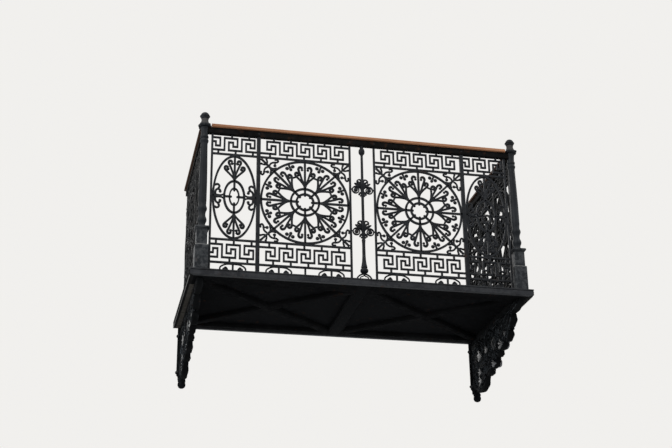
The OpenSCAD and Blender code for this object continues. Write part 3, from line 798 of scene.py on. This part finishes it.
def octagon(low, high):
    """Eight flat sides between two levels, fading to round at both ends."""
    eighth = math.pi / 4
    fade_length, swell = 25, 1.03

    def shape(angle, z):
        flat = math.cos(eighth / 2) / np.cos((angle + eighth / 2) % eighth - eighth / 2)
        fade = min(1, max(0, (z - low) / fade_length)) * min(1, max(0, (high - z) / fade_length))
        return 1 + (flat * swell - 1) * fade
    return shape


def make_plinth(side):
    """Two blocks under a slab, with a pale filled joint between the blocks."""
    x, y, z0, z1 = node_middle(side + "_plinth")
    low, high = box_mm(side + "_plinth")
    lower_height, slab_thick = 170, 15
    joint, slab = z0 + lower_height, z1 - slab_thick
    casting = Casting()
    for width, start, end, edge in ((86, z0, joint, 2.5), (70, joint - 1, slab - 5, 2.5),
                                    (80, slab - 8, slab + 1, 3), (high.x - low.x, slab, z1, 3)):
        casting.block((x, y), width, start, end, edge)
    casting.piece(side + "_plinth_cast", PLINTH_IRON, "railing_iron", [side + "_plinth"])
    seam = Casting()
    seam.block((x, y), 84, joint - 4, joint + 2.5, 1)
    seam.block((x, y), 74, joint + 2, joint + 4.5, 1)
    seam.piece(side + "_plinth_joint", ARRIS, "railing_iron")


def make_post(side):
    """A turned post: a double foot, an eight-sided shaft and a ringed head."""
    x, y, z0, z1 = node_middle(side + "_post")
    h = z1 - z0
    foot = curve([(28.5, 0), (28.5, 5), (23, 12), (22, 22), (24.5, 32), (29.5, 44), (30.5, 54),
                  (28.5, 65), (24, 76), (22, 88), (22.5, 102), (25.5, 113), (30, 125), (31, 134),
                  (29, 144), (25, 153)], 3)
    shaft = [(25.5, 172), (27, 190), (26.8, h * 0.45), (25.2, h * 0.62), (23.6, h - 200), (22.6, h - 126)]
    head = curve([(23, h - 118), (25.5, h - 112), (28.5, h - 102), (26, h - 92), (22.5, h - 87), (25, h - 82),
                  (28, h - 74), (26.5, h - 66), (23.5, h - 60), (24.5, h - 30), (27.5, h - 8), (28, h)], 3)
    casting = Casting()
    casting.lathe((x, y, z0), capped(foot, shaft, head), sides=64, shape=octagon(176, h - 122))
    casting.piece(side + "_post_turned", PLINTH_IRON, "railing_iron", [side + "_post"])


def make_finial(side):
    """A lobed cushion, a pale neck and a ball with a thin rim round its middle."""
    x, y, z0, z1 = node_middle(side + "_finial")
    ball_r = 30
    ball_z = z1 - z0 - ball_r

    def cushion(angle, z):
        """A rounded square with eight lobes, the same at every level."""
        square = 1 / np.maximum(np.abs(np.cos(angle)), np.abs(np.sin(angle))) ** 0.35
        return square * (1 + 0.045 * np.cos(8 * angle))
    base = curve([(30, 0), (36, 0), (40, 3), (42, 9), (41, 15), (36, 20), (31, 22)], 3)
    lean = np.linspace(-0.5, 0.5, 17) * math.pi
    globe = [(max(ball_r * math.cos(a), AXIS), ball_z + ball_r * math.sin(a)) for a in lean]
    rim = curve([(ball_r + out, up) for out, up in ((-3, -5), (2, -3.5), (4, 0), (2, 3.5), (-3, 5))], 3)
    casting = Casting()
    casting.lathe((x, y, z0), capped(base), sides=96, shape=cushion)
    casting.lathe((x, y, z0), globe)
    casting.lathe((x, y, z0 + ball_z), capped(rim), sides=64)
    casting.piece(side + "_finial_turned", PLINTH_IRON, "railing_iron", [side + "_finial"])
    neck = curve([(31, 20), (31, 25), (29, 31), (26, 38), (24, 45), (23, 50), (24, 60)], 3)
    throat = Casting()
    throat.lathe((x, y, z0), capped(neck))
    throat.piece(side + "_finial_neck", PALE_NECK_IRON, "railing_iron")


def make_baluster():
    """A turned rod that stands on a small arch with a pair of curls in it."""
    x, y, z0, z1 = node_middle("centre_baluster")
    arch_r = 53
    foot_z = arch_r + 2
    h = z1 - z0 - foot_z
    foot = curve([(12, 0), (14, 3), (23, 9), (27, 20), (24, 31), (17, 37), (21, 43), (20, 50),
                  (16.5, 66), (13.5, 88), (12, 110)], 4)
    shank = [(11.2, 130), (10.6, 200), (11, 216), (13, 238), (9, 248), (9, 372), (9.5, 380), (9.5, 540),
             (10.5, 552), (12.5, 566), (9, 576), (9, 692), (9, 700), (8.5, h - 100)]
    knob = curve([(8.5, h - 86), (8.5, h - 72), (12, h - 63), (19, h - 54), (21, h - 40), (19, h - 27),
                  (12, h - 16), (13, h - 8), (13, h)], 4)
    casting = Casting()
    casting.lathe((x, y, z0 + foot_z), capped(foot, shank, knob))
    arch = rod(arc((0, 0), arch_r, 0, 180, 32), 10, PANEL_DEPTH)
    drop = rod([[0, 52], [0, 40]], 9, PANEL_DEPTH)
    curl = vine([[0, 46], [9, 38], [20, 34], [27, 26], [24, 16], [15, 14]], 7, TWIG_DEPTH)
    casting.draw(Plane((x, y, z0), *STREET_AXES),
                 [arch, ball(0, foot_z, 9), drop] + both_sides([curl, ball(15, 17, 5.5)]))
    casting.piece("centre_baluster_turned", RAIL_IRON, "railing_iron", ["centre_baluster"])


def make_boss(node):
    """Leaves and a volute on each side of the baluster's rod, tied to the thin uprights."""
    x, y, lowest, _ = node_middle(node)
    z = lowest + 54
    reach = node_middle("right_centre_stile")[0] - THIN_STILE / 2 - x
    casting = Casting()
    sleeve = curve([(9, -60), (11, -50), (13, -34), (12, -10), (13, 14), (15, 34), (14, 50), (9, 64)], 4)
    casting.lathe((x, y, z), sleeve, sides=32)
    plane = Plane((x, y, z), *STREET_AXES)
    leaves = (([(2, 0), (11, 20), (23, 37), (35, 49)], 15, 3),
              ([(8, -4), (24, 13), (40, 25), (55, 33)], 18, 3),
              ([(2, 24), (5, 40), (10, 52), (18, 60)], 13, 2),
              ([(6, -30), (14, -36), (22, -44), (27, -52)], 14, 2))
    volute = np.vstack([curve([(4, 0), (16, 9), (30, 8)], 5),
                        arc((46, -17), (25, 21), 118, -215, 36), arc((46, -17), (20, 13), -225, -300, 8)])
    half = [rod(volute, np.linspace(10, 8, len(volute)), np.linspace(22, 15, len(volute))),
            ball(46, -17, 15, 11),
            vine([(5, 57), (17, 61), (29, 58), (37, 49), (35, 41)], 8.5, 14), ball(34, 42, 7.5, 8),
            rod([[68, -14], [reach, -12]], 10, 11), ball(23, -48, 7.5, 7.5),
            rod([[2, -46], [12, -58]], 8, 9), ball(13, -58, 6.5, 6.5)]
    for s in (-1, 1):
        for face in (-1, 1):
            for points, width, lobes in leaves:
                spine = np.array([(x + s * u, y + face * 4, z + v) for u, v in points])
                across = np.cross((0, face, 0), spine[-1] - spine[0])
                casting.leaf(spine, across, width, lobes, thick=7)
        casting.draw(plane, scaled(half, s, 1))
    for face in (-1, 1):
        spine = [(x, y + face * r, z + v) for r, v in ((9, -24), (15, 2), (18, 26), (13, 42))]
        casting.leaf(spine, (face, 0, 0), width=24)
    casting.piece(node + "_leaves", RAIL_IRON, "railing_iron", [node])


# Handrail and the deck's edge

def make_handrails():
    """Moulded wooden rails: rounded on top, with a hollow and a bead along each side."""
    for node, material in (("front_handrail", FRONT_WOOD), ("left_handrail", SHADED_SIDE_WOOD),
                           ("right_handrail", SHADED_SIDE_WOOD)):
        low, high = box_mm(node)
        middle = (low + high) / 2
        thick = high.z - low.z
        along_x = high.x - low.x > high.y - low.y
        half = (high.y - low.y if along_x else high.x - low.x) / 2
        right = curve([(half - 3, 0), (half, 3), (half, 8), (half - 2, 11), (half - 1, 15),
                       (half - 5, thick - 4), (half - 14, thick - 1), (0, thick)], 3)
        outline = np.vstack([right, right[-2::-1] * (-1, 1)])
        casting = Casting()
        casting.tube([[(at.x, middle.y + o, low.z + u) if along_x else (middle.x - o, at.y, low.z + u)
                       for o, u in outline] for at in (low, middle, high)])
        casting.piece(node + "_moulded", material, "handrail_wood", [node], sharp=50)


def make_deck_edges():
    """The moulded edge on three sides, mitred at the corners, with a lip over a shadow groove."""
    low, high = box_mm("front_edge")
    depth = high.y - low.y
    height = high.z - low.z
    plain = [(-depth, 0), (-3.5, 0), (-2, 1.5)]
    lip = [(-2, height - 12), (-5, height - 11), (-5, height - 8.5), (0, height - 7.5), (0, height - 1.5),
           (-1.5, height), (-depth, height)]
    ridges = []
    for level in (9, 20):
        ridges += [(-2, level - 1.5), (-0.3, level - 0.5), (-0.3, level + 0.5), (-2, level + 1.5)]
    corners = np.array([(high.x, 0), (high.x, low.y), (low.x, low.y), (low.x, 0)], float)
    mitres = np.array([(1, 0), (1, -1), (-1, -1), (-1, 0)], float)
    for i, (node, paint, middle) in enumerate((("right_edge", SHADED_SIDE_EDGE_IRON, ridges),
                                               ("front_edge", EDGE_IRON, []),
                                               ("left_edge", SHADED_SIDE_EDGE_IRON, ridges))):
        casting = Casting()
        casting.tube([[(p[0] + s[0] * o, p[1] + s[1] * o, low.z + u) for o, u in plain + middle + lip]
                      for p, s in zip(corners[i:i + 2], mitres[i:i + 2])])
        casting.piece(node + "_moulded", paint, "edge_iron", [node], sharp=30)


def make_edge_trim(side):
    """The painted-highlight line on a side edge's lower arris and the brown strip of painted bounce light
    under the deck beside it.
    """
    sign = -1 if side == "left" else 1
    low, high = box_mm("front_edge")
    arris_r = 2.6
    arris_x, arris_z = sign * (high.x - 2.8), low.z + 1.2
    # The arris bead is painted pale as a highlight along the edge.
    arris = Casting()
    arris.tube([[(arris_x + u, y, arris_z + v) for u, v in ring_points(arris_r, arris_r, 8)]
                for y in (low.y + 30, -1)])
    arris.piece(side + "_edge_arris", ARRIS, "edge_iron")
    inner = node_middle(side + "_bracket")[0] + sign * 23
    outer = sign * (high.x - 21)
    # The strip is painted lighter than the deck as bounce light from the wall.
    strip_front, strip_back, strip_low, strip_top = -905, -16, -2, 0.5
    strip = Casting()
    strip.tube([[(x, y, low.z + u) for x, u in ((inner, strip_top), (inner, strip_low),
                                                (outer, strip_low), (outer, strip_top))]
                for y in (strip_front, strip_back)])
    strip.piece(side + "_soffit_strip", SOFFIT_STRIP, "deck_iron")


# Brackets, drawn with x from the wall and z down from the deck

def bracket_lobes():
    """The tongue under the deck, then the lobes of the front and lower edge, down to the wall."""
    lobes = (
        [(1033, -2), (1028, -26), (992, -46), (936, -55), (886, -62)],
        [(886, -62), (890, -92), (866, -121), (830, -134), (797, -131)],
        [(797, -131), (812, -165), (803, -194), (772, -210), (732, -208), (700, -197)],
        [(700, -197), (688, -218), (652, -233), (610, -238)],
        [(610, -238), (596, -254), (566, -262), (536, -259)],
        [(536, -259), (526, -284), (490, -304), (452, -309), (416, -310)],
        [(416, -310), (398, -326), (366, -333), (330, -331), (300, -328)],
        [(300, -328), (286, -350), (262, -378), (222, -396), (180, -402), (130, -399), BRACKET_FOOT])
    return [curve(points, 5) for points in lobes]


def coil(lead, eye, drift, angles, radii):
    """A scroll: a lead, then turns round an eye that moves by its drift while they tighten."""
    steps, width, thinner, lower = 90, 25, 8, 17
    angle = np.linspace(angles[0], angles[-1], steps)
    radius = np.interp(angle, angles, radii)
    inward = np.clip((angle - angles[1]) / (angles[2] - angles[1]), 0, 1)
    turn = np.radians(angle)
    turns = (np.array(eye) + np.outer(inward, drift)
             + np.column_stack([radius * np.cos(turn), radius * np.sin(turn)]))
    start = curve(lead)
    share = np.concatenate([np.zeros(len(start)), inward])
    line = rod(np.vstack([start, turns]), width - thinner * share, SCROLL_DEPTH - lower * share)
    return [line, ball(eye[0] + drift[0], eye[1] + drift[1], radii[-1] - 6, 13)]


def scrolls(casting, plane):
    """The two scrolls of a bracket, each with a thinner inner coil."""
    casting.draw(plane, coil([(870, -40), (760, -36), (640, -44)], FRONT_EYE, (-12, 0),
                             (75, 230, 290, 650), (104, 98, 45, 26)))
    casting.draw(plane, coil([(346, -312), (326, -268)], WALL_EYE, (20, 5),
                             (-20, 250, 320, 640), (138, 128, 45, 30)))


# Single leaves, each from its line, its width and its number of lobes
SCROLL_LEAVES = (
    ([(1000, -24), (950, -30), (900, -34), (850, -40)], 34, 5),
    ([(872, -70), (850, -100), (812, -118), (770, -120)], 52, 4),
    ([(860, -50), (800, -66), (730, -96), (650, -150)], 46, 5),
    ([(760, -60), (700, -66), (650, -84), (628, -130)], 42, 4),
    ([(790, -140), (730, -140), (680, -158), (620, -190)], 36, 4),
    ([(420, -30), (376, -56), (352, -110), (356, -170)], 46, 5),
    ([(398, -70), (384, -140), (376, -200), (352, -250)], 40, 5),
    ([(420, -250), (390, -270), (372, -286), (340, -296)], 34, 4),
    ([(500, -258), (460, -270), (420, -290), (370, -304)], 26, 4),
    ([(36, -36), (60, -54), (120, -48), (170, -40)], 36, 4),
    ([(300, -316), (250, -336), (190, -352), (120, -356)], 42, 5),
    ([(236, -350), (190, -366), (130, -374), (90, -370)], 26, 4),
    ([(34, -90), (36, -150), (34, -210), (36, -262)], 26, 5),
    ([(40, -280), (46, -310), (60, -340), (84, -366)], 34, 4),
    ([(250, -30), (300, -36), (360, -30), (420, -30)], 26, 5),
    ([(480, -36), (540, -32), (600, -28), (660, -26)], 26, 5))


def scroll_leaves(casting, plane):
    """Leaves that lie on the web, round the coils and between them."""
    coil_leaf_level, leaf_level = 12.75, 17
    leaves = []
    for eye, start, end, angles in ((FRONT_EYE, 40, 96, range(20, 341, 32)),
                                    (WALL_EYE, 44, 122, range(12, 349, 28))):
        for degrees in angles:
            a = math.radians(degrees)
            ray = [(eye[0] + r * math.cos(a + b), eye[1] + r * math.sin(a + b))
                   for r, b in ((start, 0), ((start + end) / 2, 0.14), (end, 0.3))]
            leaves.append((ray, 30, 3, coil_leaf_level))
    for points, width, lobes in SCROLL_LEAVES:
        leaves.append((points, width, lobes, leaf_level))
    for face in (1, -1):
        for points, width, lobes, level in leaves:
            spine = plane.place([(x, z, face * level * (1 - 0.3 * k / len(points)))
                                 for k, (x, z) in enumerate(points)])
            way = np.subtract(points[-1], points[0])
            casting.leaf(spine, plane.across(*way), width, lobes, thick=7 * face, cup=0.35, ridge=0.4)


def small_leaves(casting, plane):
    """Small leaves packed over both faces of the web, each turned from its neighbours."""
    edge = np.vstack(bracket_lobes()[1:])
    edge = edge[np.argsort(edge[:, 0])]
    pitch, length, width, margin, golden = 23, 27, 15, 20, 2.4
    for i, x in enumerate(np.arange(54, 880, pitch)):
        lowest = np.interp(x, edge[:, 0], edge[:, 1]) + margin
        for j, z in enumerate(np.arange(-34 - i % 2 * pitch / 2, lowest, -pitch)):
            turn = golden * (17 * i + j)
            dx, dz = length / 2 * math.cos(turn), length / 2 * math.sin(turn)
            for face in (1, -1):
                spine = plane.place([(x + way * dx, z + way * dz, face * level)
                                     for way, level in ((-1, 9), (0, 15), (1, 10))])
                casting.leaf(spine, plane.across(dx, dz), width, lobes=2, thick=8 * face,
                             cup=0.5 * face, ridge=-0.3 * face, steps=2)


def highlight_leaves(casting, plane):
    """Fans of three leaves, the highest of the relief on both faces, smooth and glossy, painted paler as a
    highlight.
    """
    fans = (((240, -158), (160, -144), 56), ((384, -160), (334, -138), 46), ((536, -112), (506, -198), 12),
            ((688, -206), (606, -184), 40), ((516, -296), (462, -282), 16), ((226, -278), (166, -270), 22),
            ((228, -342), (160, -336), 26), ((770, -152), (738, -164), 14))
    rise = SCROLL_DEPTH / 2 - 1
    for face in (1, -1):
        for (x0, z0), (x1, z1), width in fans:
            for degrees in (-34, -2, 30):
                c, s = math.cos(math.radians(degrees)), math.sin(math.radians(degrees))
                dx, dz = c * (x1 - x0) - s * (z1 - z0), s * (x1 - x0) + c * (z1 - z0)
                reach = 1 - 0.004 * abs(degrees)
                spine = [(x0 + share * reach * dx, z0 + share * reach * dz, face * (rise - drop))
                         for share, drop in ((0, 6), (0.35, 1), (0.7, 0), (1, 7))]
                casting.leaf(plane.place(spine), plane.across(dx, dz), 0.52 * width,
                             thick=12 * face, cup=-0.2, ridge=0.16)


def edge_rolls(casting, plane):
    """A rounded roll in each lobe of the edge, with a leaf that wraps over it."""
    inset, thin, swell, lift = 9, 12, 9, 1.5
    for lobe in bracket_lobes():
        way = np.gradient(lobe, axis=0)
        out = np.column_stack([-way[:, 1], way[:, 0]])
        out /= np.linalg.norm(out, axis=1)[:, None]
        share = np.sin(math.pi * np.linspace(0.08, 0.92, len(lobe)))
        depth = SCROLL_DEPTH * (0.55 + 0.45 * share)
        casting.line(plane, rod(lobe - out * inset, thin + swell * share, depth))
        picked = lobe[[0, len(lobe) // 3, 2 * len(lobe) // 3, -1]] + out[[0, 3, -4, -1]] * lift
        spine = plane.place(np.column_stack([picked, np.zeros(4)]))
        casting.leaf(spine, plane.out, SCROLL_DEPTH + 2, thick=7, cup=0.05, ridge=0.12)


def make_bracket(side):
    """A closed web between bars and rolled lobes, with scrolls and three layers of leaves on it."""
    foot_z = BRACKET_FOOT[1]
    plane = Plane((node_middle(side + "_bracket")[0], 0, DECK_UNDER), (0, -1, 0),
                  (-1 if side == "left" else 1, 0, 0))
    outline = np.vstack([[(BRACKET_BACK, 0)]] + [lobe[:-1] for lobe in bracket_lobes()]
                        + [[BRACKET_FOOT, (BRACKET_BACK, foot_z)]])
    top_z, back_x = -TOP_BAR / 2, BRACKET_BACK + BACK_BAR / 2
    body = Casting()
    body.plate(plane, outline, WEB_DEPTH)
    body.draw(plane, [Line([(BRACKET_BACK, top_z), (BRACKET_REACH, top_z)], TOP_BAR, SCROLL_DEPTH),
                      Line([(back_x, 0), (back_x, foot_z)], BACK_BAR, SCROLL_DEPTH)])
    edge_rolls(body, plane)
    body.piece(side + "_bracket_body", BRACKET_DARK, "bracket_iron", [side + "_bracket"])
    for name, layer, paint in (("scrolls", scrolls, BRACKET_DARK), ("leaves", scroll_leaves, BRACKET_IRON),
                               ("small_leaves", small_leaves, BRACKET_IRON),
                               ("highlight_leaves", highlight_leaves, BRACKET_HIGHLIGHT)):
        casting = Casting()
        layer(casting, plane)
        casting.piece(side + "_bracket_" + name, paint, "bracket_iron")


def make_wall_plate(side):
    """The plate on the wall, with a narrow foot and a lug round each of its four bolts."""
    low, high = box_mm(side + "_wall_plate")
    height, depth = high.z - low.z, high.y - low.y
    half, lug_r, corner_r, foot_half = (high.x - low.x) / 2 - 8, 11, 12, 27
    right = np.vstack([[(half, 0)],
                       curve([(half, 46 - height), (half - 2, 38 - height), (foot_half + 1, 30 - height),
                              (foot_half, 22 - height)], 4),
                       arc((foot_half - corner_r, corner_r - height), corner_r, 0, -90, 8)])
    plane = Plane(((low.x + high.x) / 2, (low.y + high.y) / 2, high.z), *STREET_AXES)
    casting = Casting()
    casting.plate(plane, np.vstack([right, right[::-1] * (-1, 1)]), depth)
    for x in (-PLATE_BOLT_X, PLATE_BOLT_X):
        for z in (-PLATE_BOLT_Z, PLATE_BOLT_Z - height):
            casting.plate(plane, ring_points(lug_r, lug_r, 28) + (x, z), depth - 1)
    casting.piece(side + "_wall_plate_cast", BRACKET_DARK, "bracket_iron", [side + "_wall_plate"])


def make_pendant(side):
    """The hanging knob under a bracket, with a lobed lower half."""
    x, y, z0, z1 = node_middle(side + "_pendant")
    h = z1 - z0
    profile = curve([(AXIS, 0), (12, 2.5), (22, 10), (27, 22), (27, 33), (24.5, 40), (24.5, 44), (26.5, 48),
                     (27, 54), (26, h)], 4)

    def lobed(angle, z):
        """Ten lobes between two levels, round under and over them."""
        return 1 + (0.06 * np.abs(np.cos(5 * angle)) - 0.05) * (1 if 8 < z < 40 else 0)
    casting = Casting()
    casting.lathe((x, y, z0), np.vstack([profile, [(AXIS, h)]]), sides=60, shape=lobed)
    casting.piece(side + "_pendant_turned", BRACKET_IRON, "bracket_iron", [side + "_pendant"])


# Bolts and rivets

def bolt(casting, x, y, z):
    """A hexagon head on a round washer, standing out from the wall plate."""
    washer_r, head_r, bevel = 9.5, 8, 1.2
    for r, sides, start, end in ((washer_r, 24, -0.3, 2.2), (head_r, 6, 2, 9)):
        casting.tube([[(x - u, y - level, z + v) for v, u in ring_points(radius, radius, sides)]
                      for radius, level in ((r, start), (r, end - 1), (r - bevel, end))])


def make_wall_bolts():
    """One bolt in each lug of the wall plates."""
    casting = Casting()
    for side in ("left", "right"):
        low, high = box_mm(side + "_wall_plate")
        middle = (low.x + high.x) / 2
        for x in (middle - PLATE_BOLT_X, middle + PLATE_BOLT_X):
            for z in (high.z - PLATE_BOLT_Z, low.z + PLATE_BOLT_Z):
                bolt(casting, x, low.y, z)
    casting.piece("wall_plate_bolts", BOLT_STEEL, "bracket_iron")


def make_rivets():
    """Round heads where the uprights meet the iron rail and round the edge of the deck plate."""
    low, high = box_mm("front_iron_rail")
    rivet_up, rivet = 20, ball(0, 0, 6, 2.6)
    casting = Casting()
    for node in ("left_stile", "right_stile", "left_centre_stile", "right_centre_stile"):
        x = node_middle(node)[0]
        for y, out in ((low.y, (0, -1, 0)), (high.y, (0, 1, 0))):
            casting.bead(Plane((x, y, low.z + rivet_up), (1, 0, 0), out), rivet)
    casting.piece("rail_rivets", RAIL_IRON, "railing_iron")
    low, high = box_mm("deck_plate")
    inset, middle_x, long_steps, short_steps = 22, 18, 14, 7
    width, depth = high.x - low.x - 2 * inset, high.y - low.y - 2 * inset
    places = [(low.x + inset + width * i / long_steps, y) for i in range(long_steps + 1)
              for y in (low.y + inset, high.y - inset)]
    places += [(x, low.y + inset + depth * i / short_steps) for i in range(1, short_steps)
               for x in (low.x + inset, -middle_x, middle_x, high.x - inset)]
    head = [(7, 0), (7, 1.4), (5.5, 3), (3, 3.9), (0.4, 4.2)]
    deck = Casting()
    for x, y in places:
        deck.lathe((x, y, high.z - 1), head, sides=12)
    deck.piece("deck_rivets", DECK_IRON, "deck_iron")


# Stage

def make_stage():
    street = -4.5
    bpy.ops.mesh.primitive_plane_add(size=60, location=(0, 0, street))
    floor = bpy.context.active_object
    floor.name = "floor"
    n = Nodes(bpy.data.materials.new("floor_pale"))
    n.fill(n.shader, {"Base Color": (0.80, 0.79, 0.77, 1), "Roughness": 0.9})
    floor.data.materials.append(n.owner)


def make_world():
    """An even sky that lights the balcony, behind a pale background that the camera and gloss see."""
    world = bpy.data.worlds.new("studio")
    bpy.context.scene.world = world
    n = Nodes(world)
    n.tree.nodes.clear()
    lit = n.new("ShaderNodeBackground", {"Color": (0.80, 0.85, 0.92, 1), "Strength": 0.55})
    seen = n.new("ShaderNodeBackground", {"Color": (0.88, 0.87, 0.85, 1), "Strength": 1.0})
    path = n.new("ShaderNodeLightPath").outputs
    either = n.math("MAXIMUM", path["Is Camera Ray"], path["Is Transmission Ray"])
    share = n.math("MAXIMUM", either, path["Is Glossy Ray"])
    mix = n.new("ShaderNodeMixShader", {0: share, 1: lit.outputs[0], 2: seen.outputs[0]})
    n.new("ShaderNodeOutputWorld", {"Surface": mix.outputs[0]})


def make_lamps():
    balcony = (0, -0.5, 0.4)
    for name, place, aim, size, energy, colour in (
            ("sky_key", (-4.5, -5.5, 7.0), balcony, 5.0, 420, (1.0, 0.98, 0.95)),
            ("sky_fill", (5.5, -4.0, 5.0), balcony, 5.0, 170, (0.90, 0.95, 1.0)),
            ("back_fill", (0.0, 6.0, 4.0), balcony, 5.0, 120, (1.0, 1.0, 1.0)),
            ("street_glint", (-7.0, -4.0, 1.2), (-0.8, -0.6, 0.0), 1.4, 150, (0.90, 0.95, 1.0))):
        lamp = bpy.data.lights.new(name, "AREA")
        lamp.size = size
        lamp.energy = energy
        lamp.color = colour
        obj = bpy.data.objects.new(name, lamp)
        obj.location = place
        obj.rotation_euler = (Vector(aim) - Vector(place)).to_track_quat("-Z", "Y").to_euler()
        bpy.context.scene.collection.objects.link(obj)


def make_camera():
    """The camera of the photograph, fitted to the rails, the deck and the house wall."""
    data = bpy.data.cameras.new("camera")
    data.sensor_width = 36
    data.lens = 67.29
    camera = bpy.data.objects.new("camera", data)
    camera.location = (-1.8432, -8.4626, -2.8564)
    camera.rotation_euler = [math.radians(a) for a in (113.2624, 0.7562, -12.2588)]
    bpy.context.scene.collection.objects.link(camera)
    bpy.context.scene.camera = camera


make_camera()
make_stage()
make_world()
make_lamps()
make_panels()
for side in ("left", "right"):
    make_post(side)
    make_finial(side)
    make_bracket(side)
    make_wall_plate(side)
    make_pendant(side)
    make_plinth(side)
make_baluster()
make_boss("upper_boss")
make_boss("lower_boss")
make_handrails()
make_deck_edges()
make_edge_trim("left")
make_edge_trim("right")
make_wall_bolts()
make_rivets()
for kind, bevel in (("", 2.5), ("_side", 2.5), ("_centre", 1.5), ("_wall", 1.5)):
    for node in ("left" + kind + "_stile", "right" + kind + "_stile"):
        softened(node, panel_paint(node), bevel)
for node in ("front_iron_rail", "left_iron_rail", "right_iron_rail"):
    softened(node, UNDER_RAIL_IRON, 2)
for node in ("middle_beam", "left_bay_ribs", "right_bay_ribs", "deck_plate"):
    softened(node, DECK_IRON, 2.5)
softened("wall_beam", EDGE_IRON, 2)

bpy.context.scene.view_settings.view_transform = "Standard"
bpy.context.view_layer.update()
